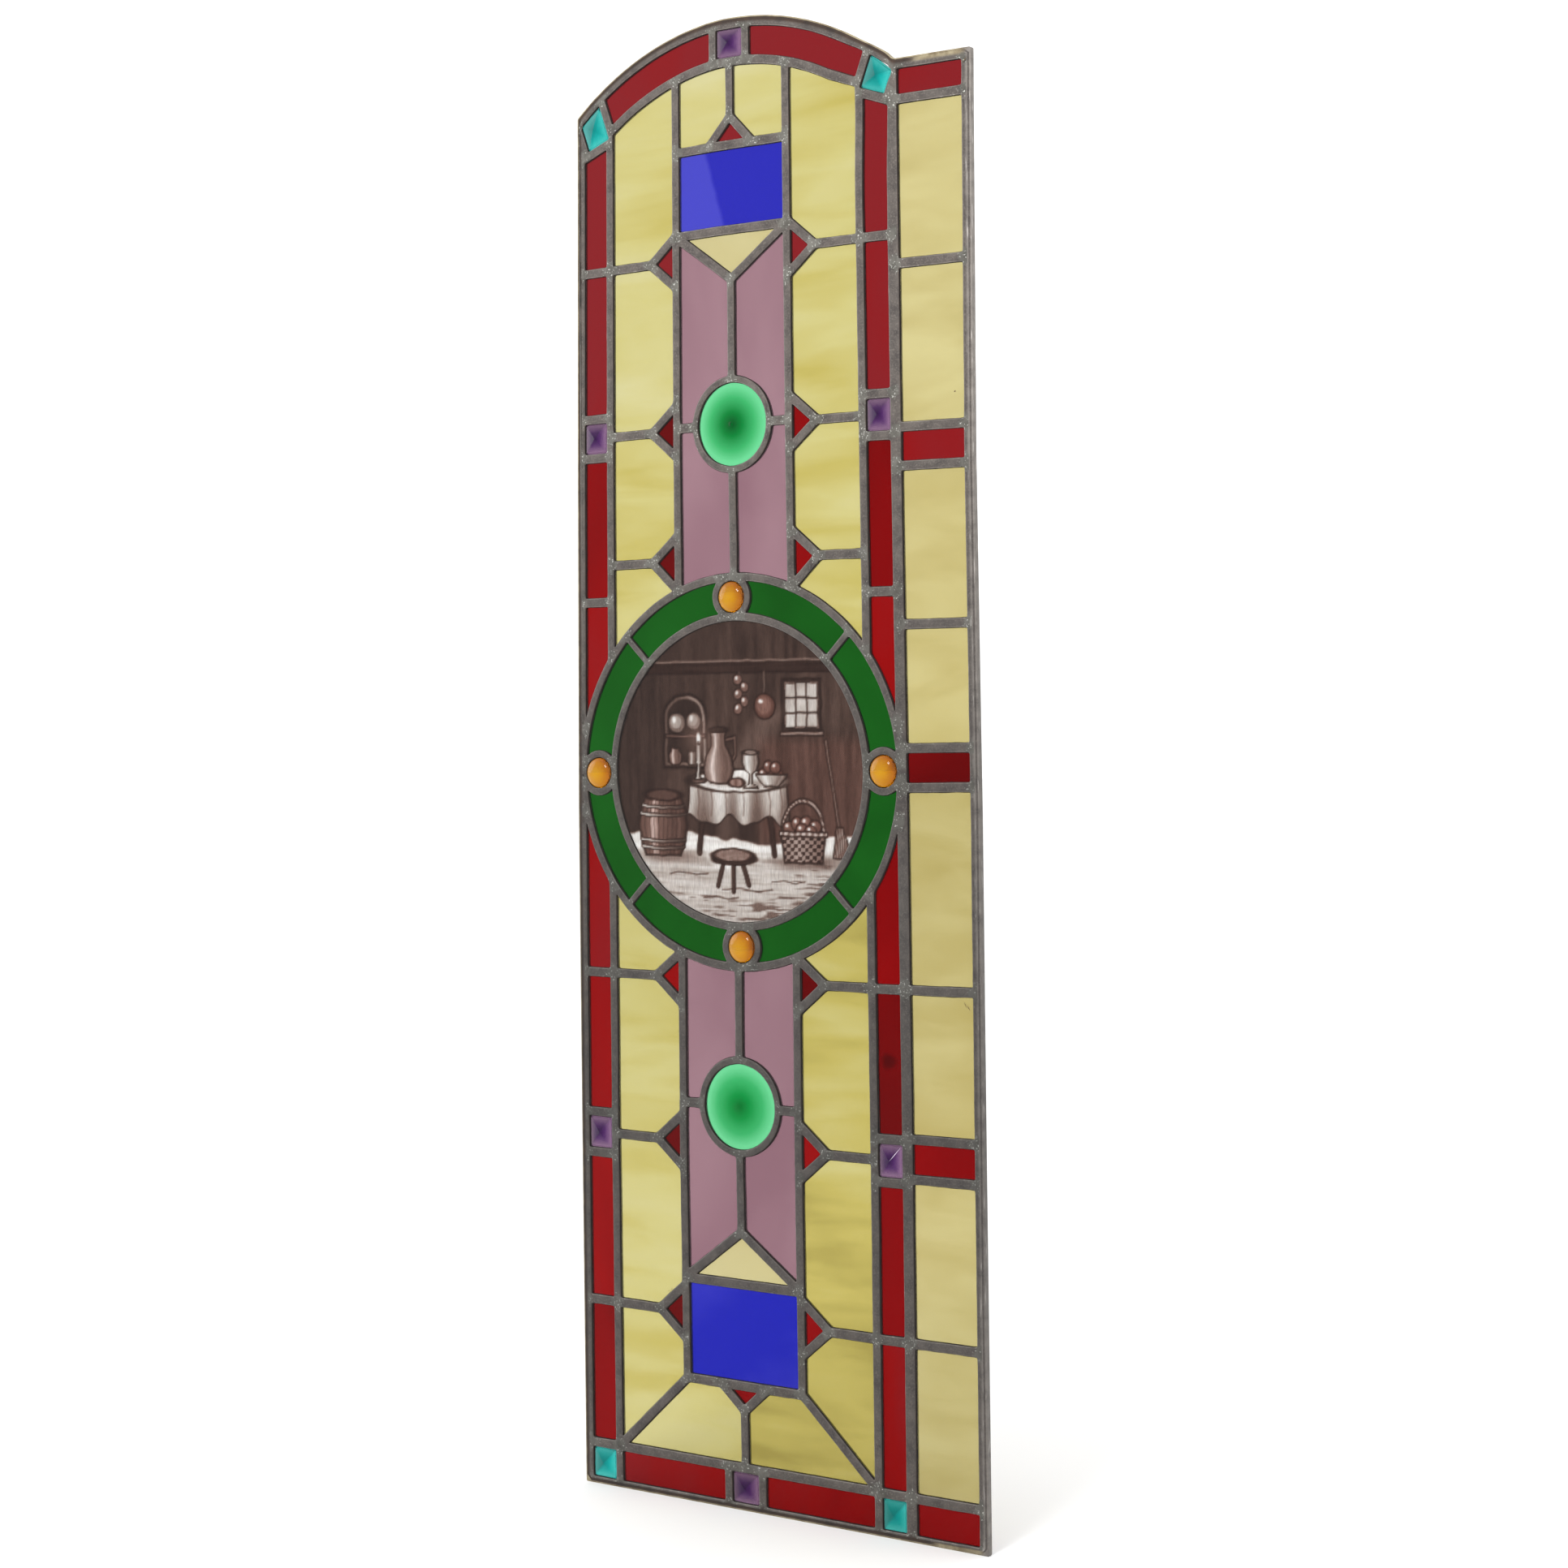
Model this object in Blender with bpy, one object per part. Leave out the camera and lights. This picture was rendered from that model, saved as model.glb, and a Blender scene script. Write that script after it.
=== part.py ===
# A leaded stained-glass window panel: an arched main light with a painted round
# medallion in the middle, and a narrower square-topped strip at its right.
# Metres. X runs across, Y from the front to the back, Z up.
# The origin is the middle of the bottom edge, half way through the lead.

import math
from collections import namedtuple

import bmesh
import bpy
from mathutils import Vector
from mathutils.geometry import delaunay_2d_cdt

# Lead: how wide each came shows from the front
RIM_FACE = 0.009
SILL_FACE = 0.006
DIVIDER_FACE = 0.011
CAME_FACE = 0.008
RING_FACE = 0.007
SPOKE_FACE = 0.0055
CABOCHON_FACE = 0.0065
RONDEL_FACE = 0.006

# Lead and glass in section
CAME_DEPTH = 0.006
HEART = 0.0016
GLASS = 0.003
CLEARANCE = 0.0003

# Bays across the panel, from came centre to came centre
BORDER_BAY = 0.034
COLUMN_BAY = 0.0765
CENTRE_BAY = 0.061
STRIP_BAY = 0.073

# Bays up the main light, from came centre to came centre unless the note says otherwise
BASE_BAND = 0.036            # from the bottom edge
FOOT_BAY = 0.126
LOW_BAY = 0.148
UNDER_BAY = 0.143
CAME_TO_RING = 0.0228        # up the column came, to the ring
RING_TO_CAME = 0.0268        # up the column came, from the ring
HIGH_BAY = 0.117
HEAD_BAY = 0.153
SPRING_BAY = 0.146           # to the spring of the arch's outer edge
ARCH_RISE = 0.064
BORDER_OVER_RING = 0.0525    # up the border came, from the ring

# The centre's own cames and pieces
BLUE_OVER_BASE = 0.0697
LOW_BLUE_HEIGHT = 0.0863
LOW_CREAM_HEIGHT = 0.0445
LOW_TRIANGLE_HEIGHT = 0.0212
RONDEL_OVER_LOW_LEVEL = 0.034
RONDEL_OVER_HIGH_LEVEL = 0.002
BLUE_OVER_HEAD = 0.022
HIGH_BLUE_HEIGHT = 0.0757
HIGH_CREAM_HEIGHT = 0.044
HIGH_TRIANGLE_HEIGHT = 0.0253

# The strip's own cross cames, set off from the main light's levels
STRIP_RED_BAY = 0.033
STRIP_RED_OVER_LOW_LEVEL = 0.003
STRIP_RED_OVER_MEDALLION = 0.0035
STRIP_RED_UNDER_HIGH_LEVEL = 0.0283
STRIP_CROSS_OVER_RED = 0.1205
STRIP_CROSS_UNDER_HEAD = 0.0255
STRIP_TOP_BAY = 0.035        # from the strip's top edge
STRIP_TOP_OVER_SPRING = 0.004

# Small pieces
JEWEL_BAY = 0.036
JEWEL_RISE = 0.0035
SPRING_JEWEL_BAY = 0.034
SPRING_JEWEL_TILT = math.radians(20)
SPRING_JEWEL_INSET = 0.0165
SPRING_JEWEL_DROP = 0.016
SIDE_TRIANGLE_DEPTH = 0.029
SIDE_TRIANGLE_HALF = 0.024
END_TRIANGLE_HALF = 0.0245

# The medallion; its ring all but touches the edge leads at both sides
RING_INSIDE_RIM = 0.0015
RING_BAND = 0.035
CABOCHON_GAP = 0.00025
CABOCHON_RISE = 0.006
RONDEL_RADIUS = 0.040
RONDEL_RISE = 0.003

# Where the cabochons sit round the ring, in degrees from the right
CABOCHON_TURNS = (0.4, 91.2, 180.9, 271.3)

# How finely the round pieces are cut
MEDALLION_STEPS = 40
RONDEL_STEPS = 20
CABOCHON_STEPS = 12

COLOURS = {
    "lead": ((0.27, 0.26, 0.25, 1), 0.42, 0.85),
    "yellow": ((0.78, 0.68, 0.28, 1), 0.1, 0.0),
    "cream": ((0.80, 0.74, 0.42, 1), 0.1, 0.0),
    "blue": ((0.03, 0.03, 0.52, 1), 0.08, 0.0),
    "mauve": ((0.36, 0.20, 0.27, 1), 0.1, 0.0),
    "green": ((0.01, 0.13, 0.02, 1), 0.08, 0.0),
    "mint": ((0.05, 0.50, 0.20, 1), 0.05, 0.0),
    "amber": ((0.75, 0.27, 0.02, 1), 0.05, 0.0),
    "painted": ((0.08, 0.05, 0.04, 1), 0.25, 0.0),
}

# Places across the panel
MAIN_HALF = BORDER_BAY + COLUMN_BAY + CENTRE_BAY
WIDTH = RIM_FACE + 2 * MAIN_HALF + STRIP_BAY
X_RIM = -WIDTH / 2 + RIM_FACE / 2
X_BORDER = X_RIM + BORDER_BAY
X_COLUMN = X_BORDER + COLUMN_BAY
AXIS = X_COLUMN + CENTRE_BAY
X_DIVIDER = AXIS + MAIN_HALF
X_STRIP_RIM = X_DIVIDER + STRIP_BAY
Z_SILL = SILL_FACE / 2

# The medallion's radii, to came centres, and where its ring crosses the upright cames
MEDALLION_OUTER = MAIN_HALF - RING_INSIDE_RIM
MEDALLION_INNER = MEDALLION_OUTER - RING_BAND
CABOCHON_RADIUS = RING_BAND / 2 - CABOCHON_GAP
RING_AT_COLUMN = math.sqrt(MEDALLION_OUTER ** 2 - (AXIS - X_COLUMN) ** 2)
RING_AT_BORDER = math.sqrt(MEDALLION_OUTER ** 2 - (AXIS - X_BORDER) ** 2)

# Levels of the cross cames, up from the bottom edge
FOOT_LEVEL = BASE_BAND + FOOT_BAY
LOW_LEVEL = FOOT_LEVEL + LOW_BAY
UNDER_LEVEL = LOW_LEVEL + UNDER_BAY
MEDALLION_HEIGHT = UNDER_LEVEL + CAME_TO_RING + RING_AT_COLUMN
OVER_LEVEL = MEDALLION_HEIGHT + RING_AT_COLUMN + RING_TO_CAME
HIGH_LEVEL = OVER_LEVEL + HIGH_BAY
HEAD_LEVEL = HIGH_LEVEL + HEAD_BAY
SPRING_HEIGHT = HEAD_LEVEL + SPRING_BAY
STRIP_TOP_HEIGHT = SPRING_HEIGHT + STRIP_TOP_OVER_SPRING
Z_STRIP_TOP = STRIP_TOP_HEIGHT - RIM_FACE / 2
BORDER_OVER_MEDALLION = MEDALLION_HEIGHT + RING_AT_BORDER + BORDER_OVER_RING
LOW_RONDEL_HEIGHT = LOW_LEVEL + RONDEL_OVER_LOW_LEVEL
HIGH_RONDEL_HEIGHT = HIGH_LEVEL + RONDEL_OVER_HIGH_LEVEL

# Levels in the centre
LOW_BLUE_BOTTOM = BASE_BAND + BLUE_OVER_BASE
LOW_BLUE_TOP = LOW_BLUE_BOTTOM + LOW_BLUE_HEIGHT
LOW_CREAM_APEX = LOW_BLUE_TOP + LOW_CREAM_HEIGHT
LOW_TRIANGLE_APEX = LOW_BLUE_BOTTOM - LOW_TRIANGLE_HEIGHT
HIGH_BLUE_BOTTOM = HEAD_LEVEL + BLUE_OVER_HEAD
HIGH_BLUE_TOP = HIGH_BLUE_BOTTOM + HIGH_BLUE_HEIGHT
HIGH_CREAM_APEX = HIGH_BLUE_BOTTOM - HIGH_CREAM_HEIGHT
HIGH_TRIANGLE_APEX = HIGH_BLUE_TOP + HIGH_TRIANGLE_HEIGHT

# Levels in the strip
STRIP_LOW_RED = LOW_LEVEL + STRIP_RED_OVER_LOW_LEVEL
STRIP_MIDDLE_RED = MEDALLION_HEIGHT + STRIP_RED_OVER_MEDALLION
STRIP_HIGH_RED = HIGH_LEVEL - STRIP_RED_UNDER_HIGH_LEVEL
STRIP_UPPER_CROSS = STRIP_MIDDLE_RED + STRIP_CROSS_OVER_RED
STRIP_HEAD_CROSS = HEAD_LEVEL - STRIP_CROSS_UNDER_HEAD
STRIP_TOP_CROSS = STRIP_TOP_HEIGHT - STRIP_TOP_BAY

# The arch: its outer edge springs from the panel's left edge and, symmetrically, at the strip
ARCH_HALF = MAIN_HALF + RIM_FACE / 2
ARCH_EDGE = (ARCH_HALF ** 2 + ARCH_RISE ** 2) / (2 * ARCH_RISE)
ARCH_CENTRE = SPRING_HEIGHT + ARCH_RISE - ARCH_EDGE
OUTER_ARCH = (AXIS, ARCH_CENTRE, ARCH_EDGE - RIM_FACE / 2)
INNER_ARCH = (AXIS, ARCH_CENTRE, ARCH_EDGE - RIM_FACE / 2 - BORDER_BAY)
OUTER_RING = (AXIS, MEDALLION_HEIGHT, MEDALLION_OUTER)
INNER_RING = (AXIS, MEDALLION_HEIGHT, MEDALLION_INNER)

FACE_WIDTH = {
    "rim": RIM_FACE,
    "side_rim": RIM_FACE,
    "sill": SILL_FACE,
    "divider": DIVIDER_FACE,
    "came": CAME_FACE,
    "ring": RING_FACE,
    "spoke": SPOKE_FACE,
    "cabochon": CABOCHON_FACE,
    "rondel": RONDEL_FACE,
}

# A corner of a glass cell, and the side that runs on from it, counter-clockwise
# from the front. The side follows a circle where one is given.
Corner = namedtuple("Corner", "x z lead circle steps")
Cell = namedtuple("Cell", "name colour kind corners")


def corner(x, z, lead="came", circle=None, steps=1):
    return Corner(x, z, lead, circle, steps)


def height_on(circle, x):
    """Upper height at which a circle stands over x."""
    cx, cz, radius = circle
    return cz + math.sqrt(radius ** 2 - (x - cx) ** 2)


def depth_on(circle, x):
    """Lower height at which a circle stands over x."""
    return 2 * circle[1] - height_on(circle, x)


# Offsetting a cell's sides

def moved_side(start, end, distance):
    """A side of a cell moved towards the inside of the cell."""
    a = Vector((start.x, start.z))
    b = Vector((end.x, end.z))
    along = (b - a).normalized()
    inward = Vector((-along.y, along.x))
    if start.circle is None:
        return ("line", a + inward * distance, along)
    centre = Vector(start.circle[:2])
    holds_cell = inward.dot(centre - a) > 0
    radius = start.circle[2] + (-distance if holds_cell else distance)
    return ("circle", centre, radius)


def line_meets_line(p, d, q, e):
    turn = d.x * e.y - d.y * e.x
    t = ((q.x - p.x) * e.y - (q.y - p.y) * e.x) / turn
    return [p + d * t]


def line_meets_circle(p, d, centre, radius):
    t = (centre - p).dot(d)
    foot = p + d * t
    reach = math.sqrt(max(radius ** 2 - (centre - foot).length_squared, 0.0))
    return [foot + d * reach, foot - d * reach]


def circle_meets_circle(centre_a, radius_a, centre_b, radius_b):
    gap = centre_b - centre_a
    along = (gap.length_squared + radius_a ** 2 - radius_b ** 2) / (2 * gap.length)
    reach = math.sqrt(max(radius_a ** 2 - along ** 2, 0.0))
    unit = gap.normalized()
    across = Vector((-unit.y, unit.x))
    foot = centre_a + unit * along
    return [foot + across * reach, foot - across * reach]


def meeting_point(side_a, side_b, hint):
    """Where two moved sides cross, nearest to the corner that they share."""
    if side_a[0] == "circle" and side_b[0] == "line":
        side_a, side_b = side_b, side_a
    if side_b[0] == "line":
        found = line_meets_line(side_a[1], side_a[2], side_b[1], side_b[2])
    elif side_a[0] == "line":
        found = line_meets_circle(side_a[1], side_a[2], side_b[1], side_b[2])
    else:
        found = circle_meets_circle(side_a[1], side_a[2], side_b[1], side_b[2])
    return min(found, key=lambda point: (point - hint).length)


def arc_points(start, end, centre, steps):
    """Points after the start and before the end, the short way round a circle."""
    radius = (start - centre).length
    first = math.atan2(start.y - centre.y, start.x - centre.x)
    last = math.atan2(end.y - centre.y, end.x - centre.x)
    sweep = (last - first + math.pi) % (2 * math.pi) - math.pi
    angles = [first + sweep * i / steps for i in range(1, steps)]
    return [centre + radius * Vector((math.cos(a), math.sin(a))) for a in angles]


def full_circle(circle, lead, steps):
    """A round cell: one corner for each step, all on the circle."""
    cx, cz, radius = circle
    angles = [2 * math.pi * i / steps for i in range(steps)]
    return [
        corner(cx + radius * math.cos(a), cz + radius * math.sin(a), lead, circle)
        for a in angles
    ]


def outline(corners, inset):
    """The cell's outline with every side moved in by inset(lead kind)."""
    count = len(corners)
    if all(c.circle is not None and c.circle == corners[0].circle for c in corners):
        cx, cz, radius = corners[0].circle
        share = 1 - inset(corners[0].lead) / radius
        return [Vector((cx + (c.x - cx) * share, cz + (c.z - cz) * share)) for c in corners]
    sides = [moved_side(c, corners[(i + 1) % count], inset(c.lead)) for i, c in enumerate(corners)]
    turns = [
        meeting_point(sides[i - 1], sides[i], Vector((corners[i].x, corners[i].z)))
        for i in range(count)
    ]
    points = []
    for i, c in enumerate(corners):
        points.append(turns[i])
        if c.circle is not None and c.steps > 1:
            centre = Vector(c.circle[:2])
            points.extend(arc_points(turns[i], turns[(i + 1) % count], centre, c.steps))
    return points


def show_inset(lead):
    """From a came's centre to the edge of its face."""
    return FACE_WIDTH[lead] / 2


def groove_inset(lead):
    """From a came's centre to the side of its heart."""
    return HEART / 2


def glass_inset(lead):
    """From a came's centre to the edge of the glass in it."""
    return HEART / 2 + CLEARANCE


def mirrored(cell):
    """The same cell on the other side of the main light."""
    swap = {"side_rim": "divider"}
    count = len(cell.corners)
    corners = []
    for i in reversed(range(count)):
        start = cell.corners[(i + 1) % count]
        side = cell.corners[i]
        lead = swap.get(side.lead, side.lead)
        corners.append(Corner(2 * AXIS - start.x, start.z, lead, side.circle, side.steps))
    return Cell(cell.name.replace("left", "right"), cell.colour, cell.kind, corners)


# The cells

def upright_cell(name, colour, kind, left, right, bottom, top, leads):
    """A four-sided cell; leads are bottom, right, top and left."""
    corners = [
        corner(left, bottom, leads[0]),
        corner(right, bottom, leads[1]),
        corner(right, top, leads[2]),
        corner(left, top, leads[3]),
    ]
    return Cell(name, colour, kind, corners)


def border_cells():
    """The left border of the main light, from the bottom corner to the arch."""
    sides = ("came", "came", "came", "side_rim")
    half = JEWEL_BAY / 2
    spans = [
        (BASE_BAND, FOOT_LEVEL),
        (FOOT_LEVEL, LOW_LEVEL - half),
        (LOW_LEVEL + half, UNDER_LEVEL),
        (BORDER_OVER_MEDALLION, HIGH_LEVEL - half),
        (HIGH_LEVEL + half, HEAD_LEVEL),
    ]
    cells = [
        upright_cell("red_border_left", "red", "bonded", X_RIM, X_BORDER, low, high, sides)
        for low, high in spans
    ]
    for level in (LOW_LEVEL, HIGH_LEVEL):
        cells.append(
            upright_cell("purple_jewel_left", "purple", "jewel", X_RIM, X_BORDER,
                         level - half, level + half, sides)
        )
    cells.append(
        upright_cell("teal_jewel_left", "teal", "jewel", X_RIM, X_BORDER, Z_SILL,
                     BASE_BAND, ("sill", "came", "came", "side_rim"))
    )
    cells.append(Cell("red_border_left", "red", "bonded", [
        corner(X_RIM, UNDER_LEVEL),
        corner(X_BORDER, UNDER_LEVEL),
        corner(X_BORDER, depth_on(OUTER_RING, X_BORDER), "ring", OUTER_RING, 3),
        corner(X_RIM, MEDALLION_HEIGHT - RING_BAND, "side_rim"),
    ]))
    cells.append(Cell("red_border_left", "red", "bonded", [
        corner(X_RIM, MEDALLION_HEIGHT + RING_BAND, "ring", OUTER_RING, 3),
        corner(X_BORDER, height_on(OUTER_RING, X_BORDER)),
        corner(X_BORDER, BORDER_OVER_MEDALLION),
        corner(X_RIM, BORDER_OVER_MEDALLION, "side_rim"),
    ]))
    return cells


def spring_jewel_lines():
    """Corner points of the tilted square that the arch's corner jewel is set in."""
    centre = Vector((X_RIM + SPRING_JEWEL_INSET, SPRING_HEIGHT - SPRING_JEWEL_DROP))
    across = Vector((math.cos(SPRING_JEWEL_TILT), math.sin(SPRING_JEWEL_TILT)))
    up = Vector((-across.y, across.x))
    half = SPRING_JEWEL_BAY / 2
    return {
        "low_left": centre - across * half - up * half,
        "low_right": centre + across * half - up * half,
        "high_right": centre + across * half + up * half,
        "high_left": centre - across * half + up * half,
    }


def arch_cells():
    """The corner jewel, the pane under it and the left half of the arched band."""
    turn = spring_jewel_lines()
    slope = math.tan(SPRING_JEWEL_TILT)
    low_left = turn["low_left"]
    under_rim = low_left.y + (X_RIM - low_left.x) * slope
    under_border = low_left.y + (X_BORDER - low_left.x) * slope
    crown = AXIS - JEWEL_BAY / 2
    foot_hint = turn["low_right"] + (turn["high_right"] - turn["low_right"]) * 0.4
    return [
        Cell("teal_jewel_left", "teal", "jewel", [
            corner(low_left.x, low_left.y),
            corner(turn["low_right"].x, turn["low_right"].y),
            corner(turn["high_right"].x, turn["high_right"].y, "rim", OUTER_ARCH),
            corner(turn["high_left"].x, turn["high_left"].y),
        ]),
        Cell("red_border_left", "red", "bonded", [
            corner(X_RIM, HEAD_LEVEL),
            corner(X_BORDER, HEAD_LEVEL),
            corner(X_BORDER, under_border),
            corner(X_RIM, under_rim, "side_rim"),
        ]),
        Cell("red_arch_left", "red", "bonded", [
            corner(foot_hint.x, foot_hint.y, "came", INNER_ARCH, 5),
            corner(crown, height_on(INNER_ARCH, crown)),
            corner(crown, height_on(OUTER_ARCH, crown), "rim", OUTER_ARCH, 5),
            corner(turn["high_right"].x, turn["high_right"].y),
        ]),
    ]


def column_cells():
    """The yellow panes and small red triangles between the border and the centre."""
    x0, x1 = X_BORDER, X_COLUMN
    tip = X_COLUMN - SIDE_TRIANGLE_DEPTH
    half = SIDE_TRIANGLE_HALF
    ring_over = height_on(OUTER_RING, x1)
    ring_under = depth_on(OUTER_RING, x1)
    panes = [
        [
            corner(x0, BASE_BAND),
            corner(x1, LOW_BLUE_BOTTOM),
            corner(x1, FOOT_LEVEL - half),
            corner(tip, FOOT_LEVEL),
            corner(x0, FOOT_LEVEL),
        ],
        [
            corner(x0, UNDER_LEVEL),
            corner(tip, UNDER_LEVEL),
            corner(x1, ring_under, "ring", OUTER_RING, 3),
            corner(x0, depth_on(OUTER_RING, x0)),
        ],
        [
            corner(x0, height_on(OUTER_RING, x0), "ring", OUTER_RING, 3),
            corner(x1, ring_over),
            corner(tip, OVER_LEVEL),
            corner(x0, OVER_LEVEL),
        ],
        [
            corner(x0, HEAD_LEVEL),
            corner(tip, HEAD_LEVEL),
            corner(x1, HEAD_LEVEL + half),
            corner(x1, height_on(INNER_ARCH, x1), "came", INNER_ARCH, 3),
            corner(x0, height_on(INNER_ARCH, x0)),
        ],
    ]
    spans = [
        (FOOT_LEVEL, LOW_LEVEL, half, half),
        (LOW_LEVEL, UNDER_LEVEL, half, half),
        (OVER_LEVEL, HIGH_LEVEL, half, half),
        (HIGH_LEVEL, HEAD_LEVEL, half, half),
    ]
    for low, high, over, under in spans:
        panes.append([
            corner(x0, low),
            corner(tip, low),
            corner(x1, low + over),
            corner(x1, high - under),
            corner(tip, high),
            corner(x0, high),
        ])
    panes.sort(key=lambda pane: sum(c.z for c in pane) / len(pane))
    cells = [
        Cell(f"yellow_pane_left_{i}", "yellow", "glass", pane)
        for i, pane in enumerate(panes, start=1)
    ]
    triangles = [
        (FOOT_LEVEL, FOOT_LEVEL - half, FOOT_LEVEL + half),
        (LOW_LEVEL, LOW_LEVEL - half, LOW_LEVEL + half),
        (UNDER_LEVEL, UNDER_LEVEL - half, ring_under),
        (OVER_LEVEL, ring_over, OVER_LEVEL + half),
        (HIGH_LEVEL, HIGH_LEVEL - half, HIGH_LEVEL + half),
        (HEAD_LEVEL, HEAD_LEVEL - half, HEAD_LEVEL + half),
    ]
    for level, low, high in triangles:
        cells.append(Cell("red_triangle_left", "red", "bonded", [
            corner(tip, level),
            corner(x1, low),
            corner(x1, high),
        ]))
    return cells


def mauve_cells():
    """The left-hand mauve panes, two about each rondel."""
    x1 = X_COLUMN
    low = (AXIS, LOW_RONDEL_HEIGHT, RONDEL_RADIUS)
    high = (AXIS, HIGH_RONDEL_HEIGHT, RONDEL_RADIUS)
    arc = RONDEL_STEPS // 4
    corners = [
        [
            corner(x1, LOW_BLUE_TOP),
            corner(AXIS, LOW_CREAM_APEX),
            corner(AXIS, low[1] - RONDEL_RADIUS, "rondel", low, arc),
            corner(AXIS - RONDEL_RADIUS, low[1]),
            corner(x1, low[1]),
        ],
        [
            corner(x1, low[1]),
            corner(AXIS - RONDEL_RADIUS, low[1], "rondel", low, arc),
            corner(AXIS, low[1] + RONDEL_RADIUS),
            corner(AXIS, MEDALLION_HEIGHT - MEDALLION_OUTER, "ring", OUTER_RING, 2),
            corner(x1, depth_on(OUTER_RING, x1)),
        ],
        [
            corner(x1, height_on(OUTER_RING, x1), "ring", OUTER_RING, 2),
            corner(AXIS, MEDALLION_HEIGHT + MEDALLION_OUTER),
            corner(AXIS, high[1] - RONDEL_RADIUS, "rondel", high, arc),
            corner(AXIS - RONDEL_RADIUS, high[1]),
            corner(x1, high[1]),
        ],
        [
            corner(x1, high[1]),
            corner(AXIS - RONDEL_RADIUS, high[1], "rondel", high, arc),
            corner(AXIS, high[1] + RONDEL_RADIUS),
            corner(AXIS, HIGH_CREAM_APEX),
            corner(x1, HIGH_BLUE_BOTTOM),
        ],
    ]
    return [
        Cell(f"mauve_pane_left_{i}", "mauve", "glass", pane)
        for i, pane in enumerate(corners, start=1)
    ]


def end_cells():
    """The left-hand yellow panes at the foot and the head of the centre."""
    base = Cell("yellow_base_pane_left", "yellow", "glass", [
        corner(X_BORDER, BASE_BAND),
        corner(AXIS, BASE_BAND),
        corner(AXIS, LOW_TRIANGLE_APEX),
        corner(AXIS - END_TRIANGLE_HALF, LOW_BLUE_BOTTOM),
        corner(X_COLUMN, LOW_BLUE_BOTTOM),
    ])
    head = Cell("yellow_head_pane_left", "yellow", "glass", [
        corner(X_COLUMN, HIGH_BLUE_TOP),
        corner(AXIS - END_TRIANGLE_HALF, HIGH_BLUE_TOP),
        corner(AXIS, HIGH_TRIANGLE_APEX),
        corner(AXIS, height_on(INNER_ARCH, AXIS), "came", INNER_ARCH, 2),
        corner(X_COLUMN, height_on(INNER_ARCH, X_COLUMN)),
    ])
    red = upright_cell("red_base_band_left", "red", "bonded", X_BORDER, AXIS - JEWEL_BAY / 2,
                       Z_SILL, BASE_BAND, ("sill", "came", "came", "came"))
    return [base, head, red]


def centre_cells():
    """The cells that stand on the main light's own axis."""
    left, right = X_COLUMN, 2 * AXIS - X_COLUMN
    all_came = ("came", "came", "came", "came")
    half = JEWEL_BAY / 2
    crown = AXIS + half
    return [
        upright_cell("blue_pane_low", "blue", "glass", left, right,
                     LOW_BLUE_BOTTOM, LOW_BLUE_TOP, all_came),
        upright_cell("blue_pane_high", "blue", "glass", left, right,
                     HIGH_BLUE_BOTTOM, HIGH_BLUE_TOP, all_came),
        Cell("cream_pane_low", "cream", "glass", [
            corner(left, LOW_BLUE_TOP),
            corner(right, LOW_BLUE_TOP),
            corner(AXIS, LOW_CREAM_APEX),
        ]),
        Cell("cream_pane_high", "cream", "glass", [
            corner(AXIS, HIGH_CREAM_APEX),
            corner(right, HIGH_BLUE_BOTTOM),
            corner(left, HIGH_BLUE_BOTTOM),
        ]),
        Cell("red_triangle_low", "red", "bonded", [
            corner(AXIS, LOW_TRIANGLE_APEX),
            corner(AXIS + END_TRIANGLE_HALF, LOW_BLUE_BOTTOM),
            corner(AXIS - END_TRIANGLE_HALF, LOW_BLUE_BOTTOM),
        ]),
        Cell("red_triangle_high", "red", "bonded", [
            corner(AXIS - END_TRIANGLE_HALF, HIGH_BLUE_TOP),
            corner(AXIS + END_TRIANGLE_HALF, HIGH_BLUE_TOP),
            corner(AXIS, HIGH_TRIANGLE_APEX),
        ]),
        upright_cell("purple_jewel_base", "purple", "jewel", AXIS - half, AXIS + half,
                     Z_SILL, BASE_BAND, ("sill", "came", "came", "came")),
        Cell("purple_jewel_crown", "purple", "jewel", [
            corner(AXIS - half, height_on(INNER_ARCH, crown), "came", INNER_ARCH),
            corner(crown, height_on(INNER_ARCH, crown)),
            corner(crown, height_on(OUTER_ARCH, crown), "rim", OUTER_ARCH),
            corner(AXIS - half, height_on(OUTER_ARCH, crown)),
        ]),
    ]


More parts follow.
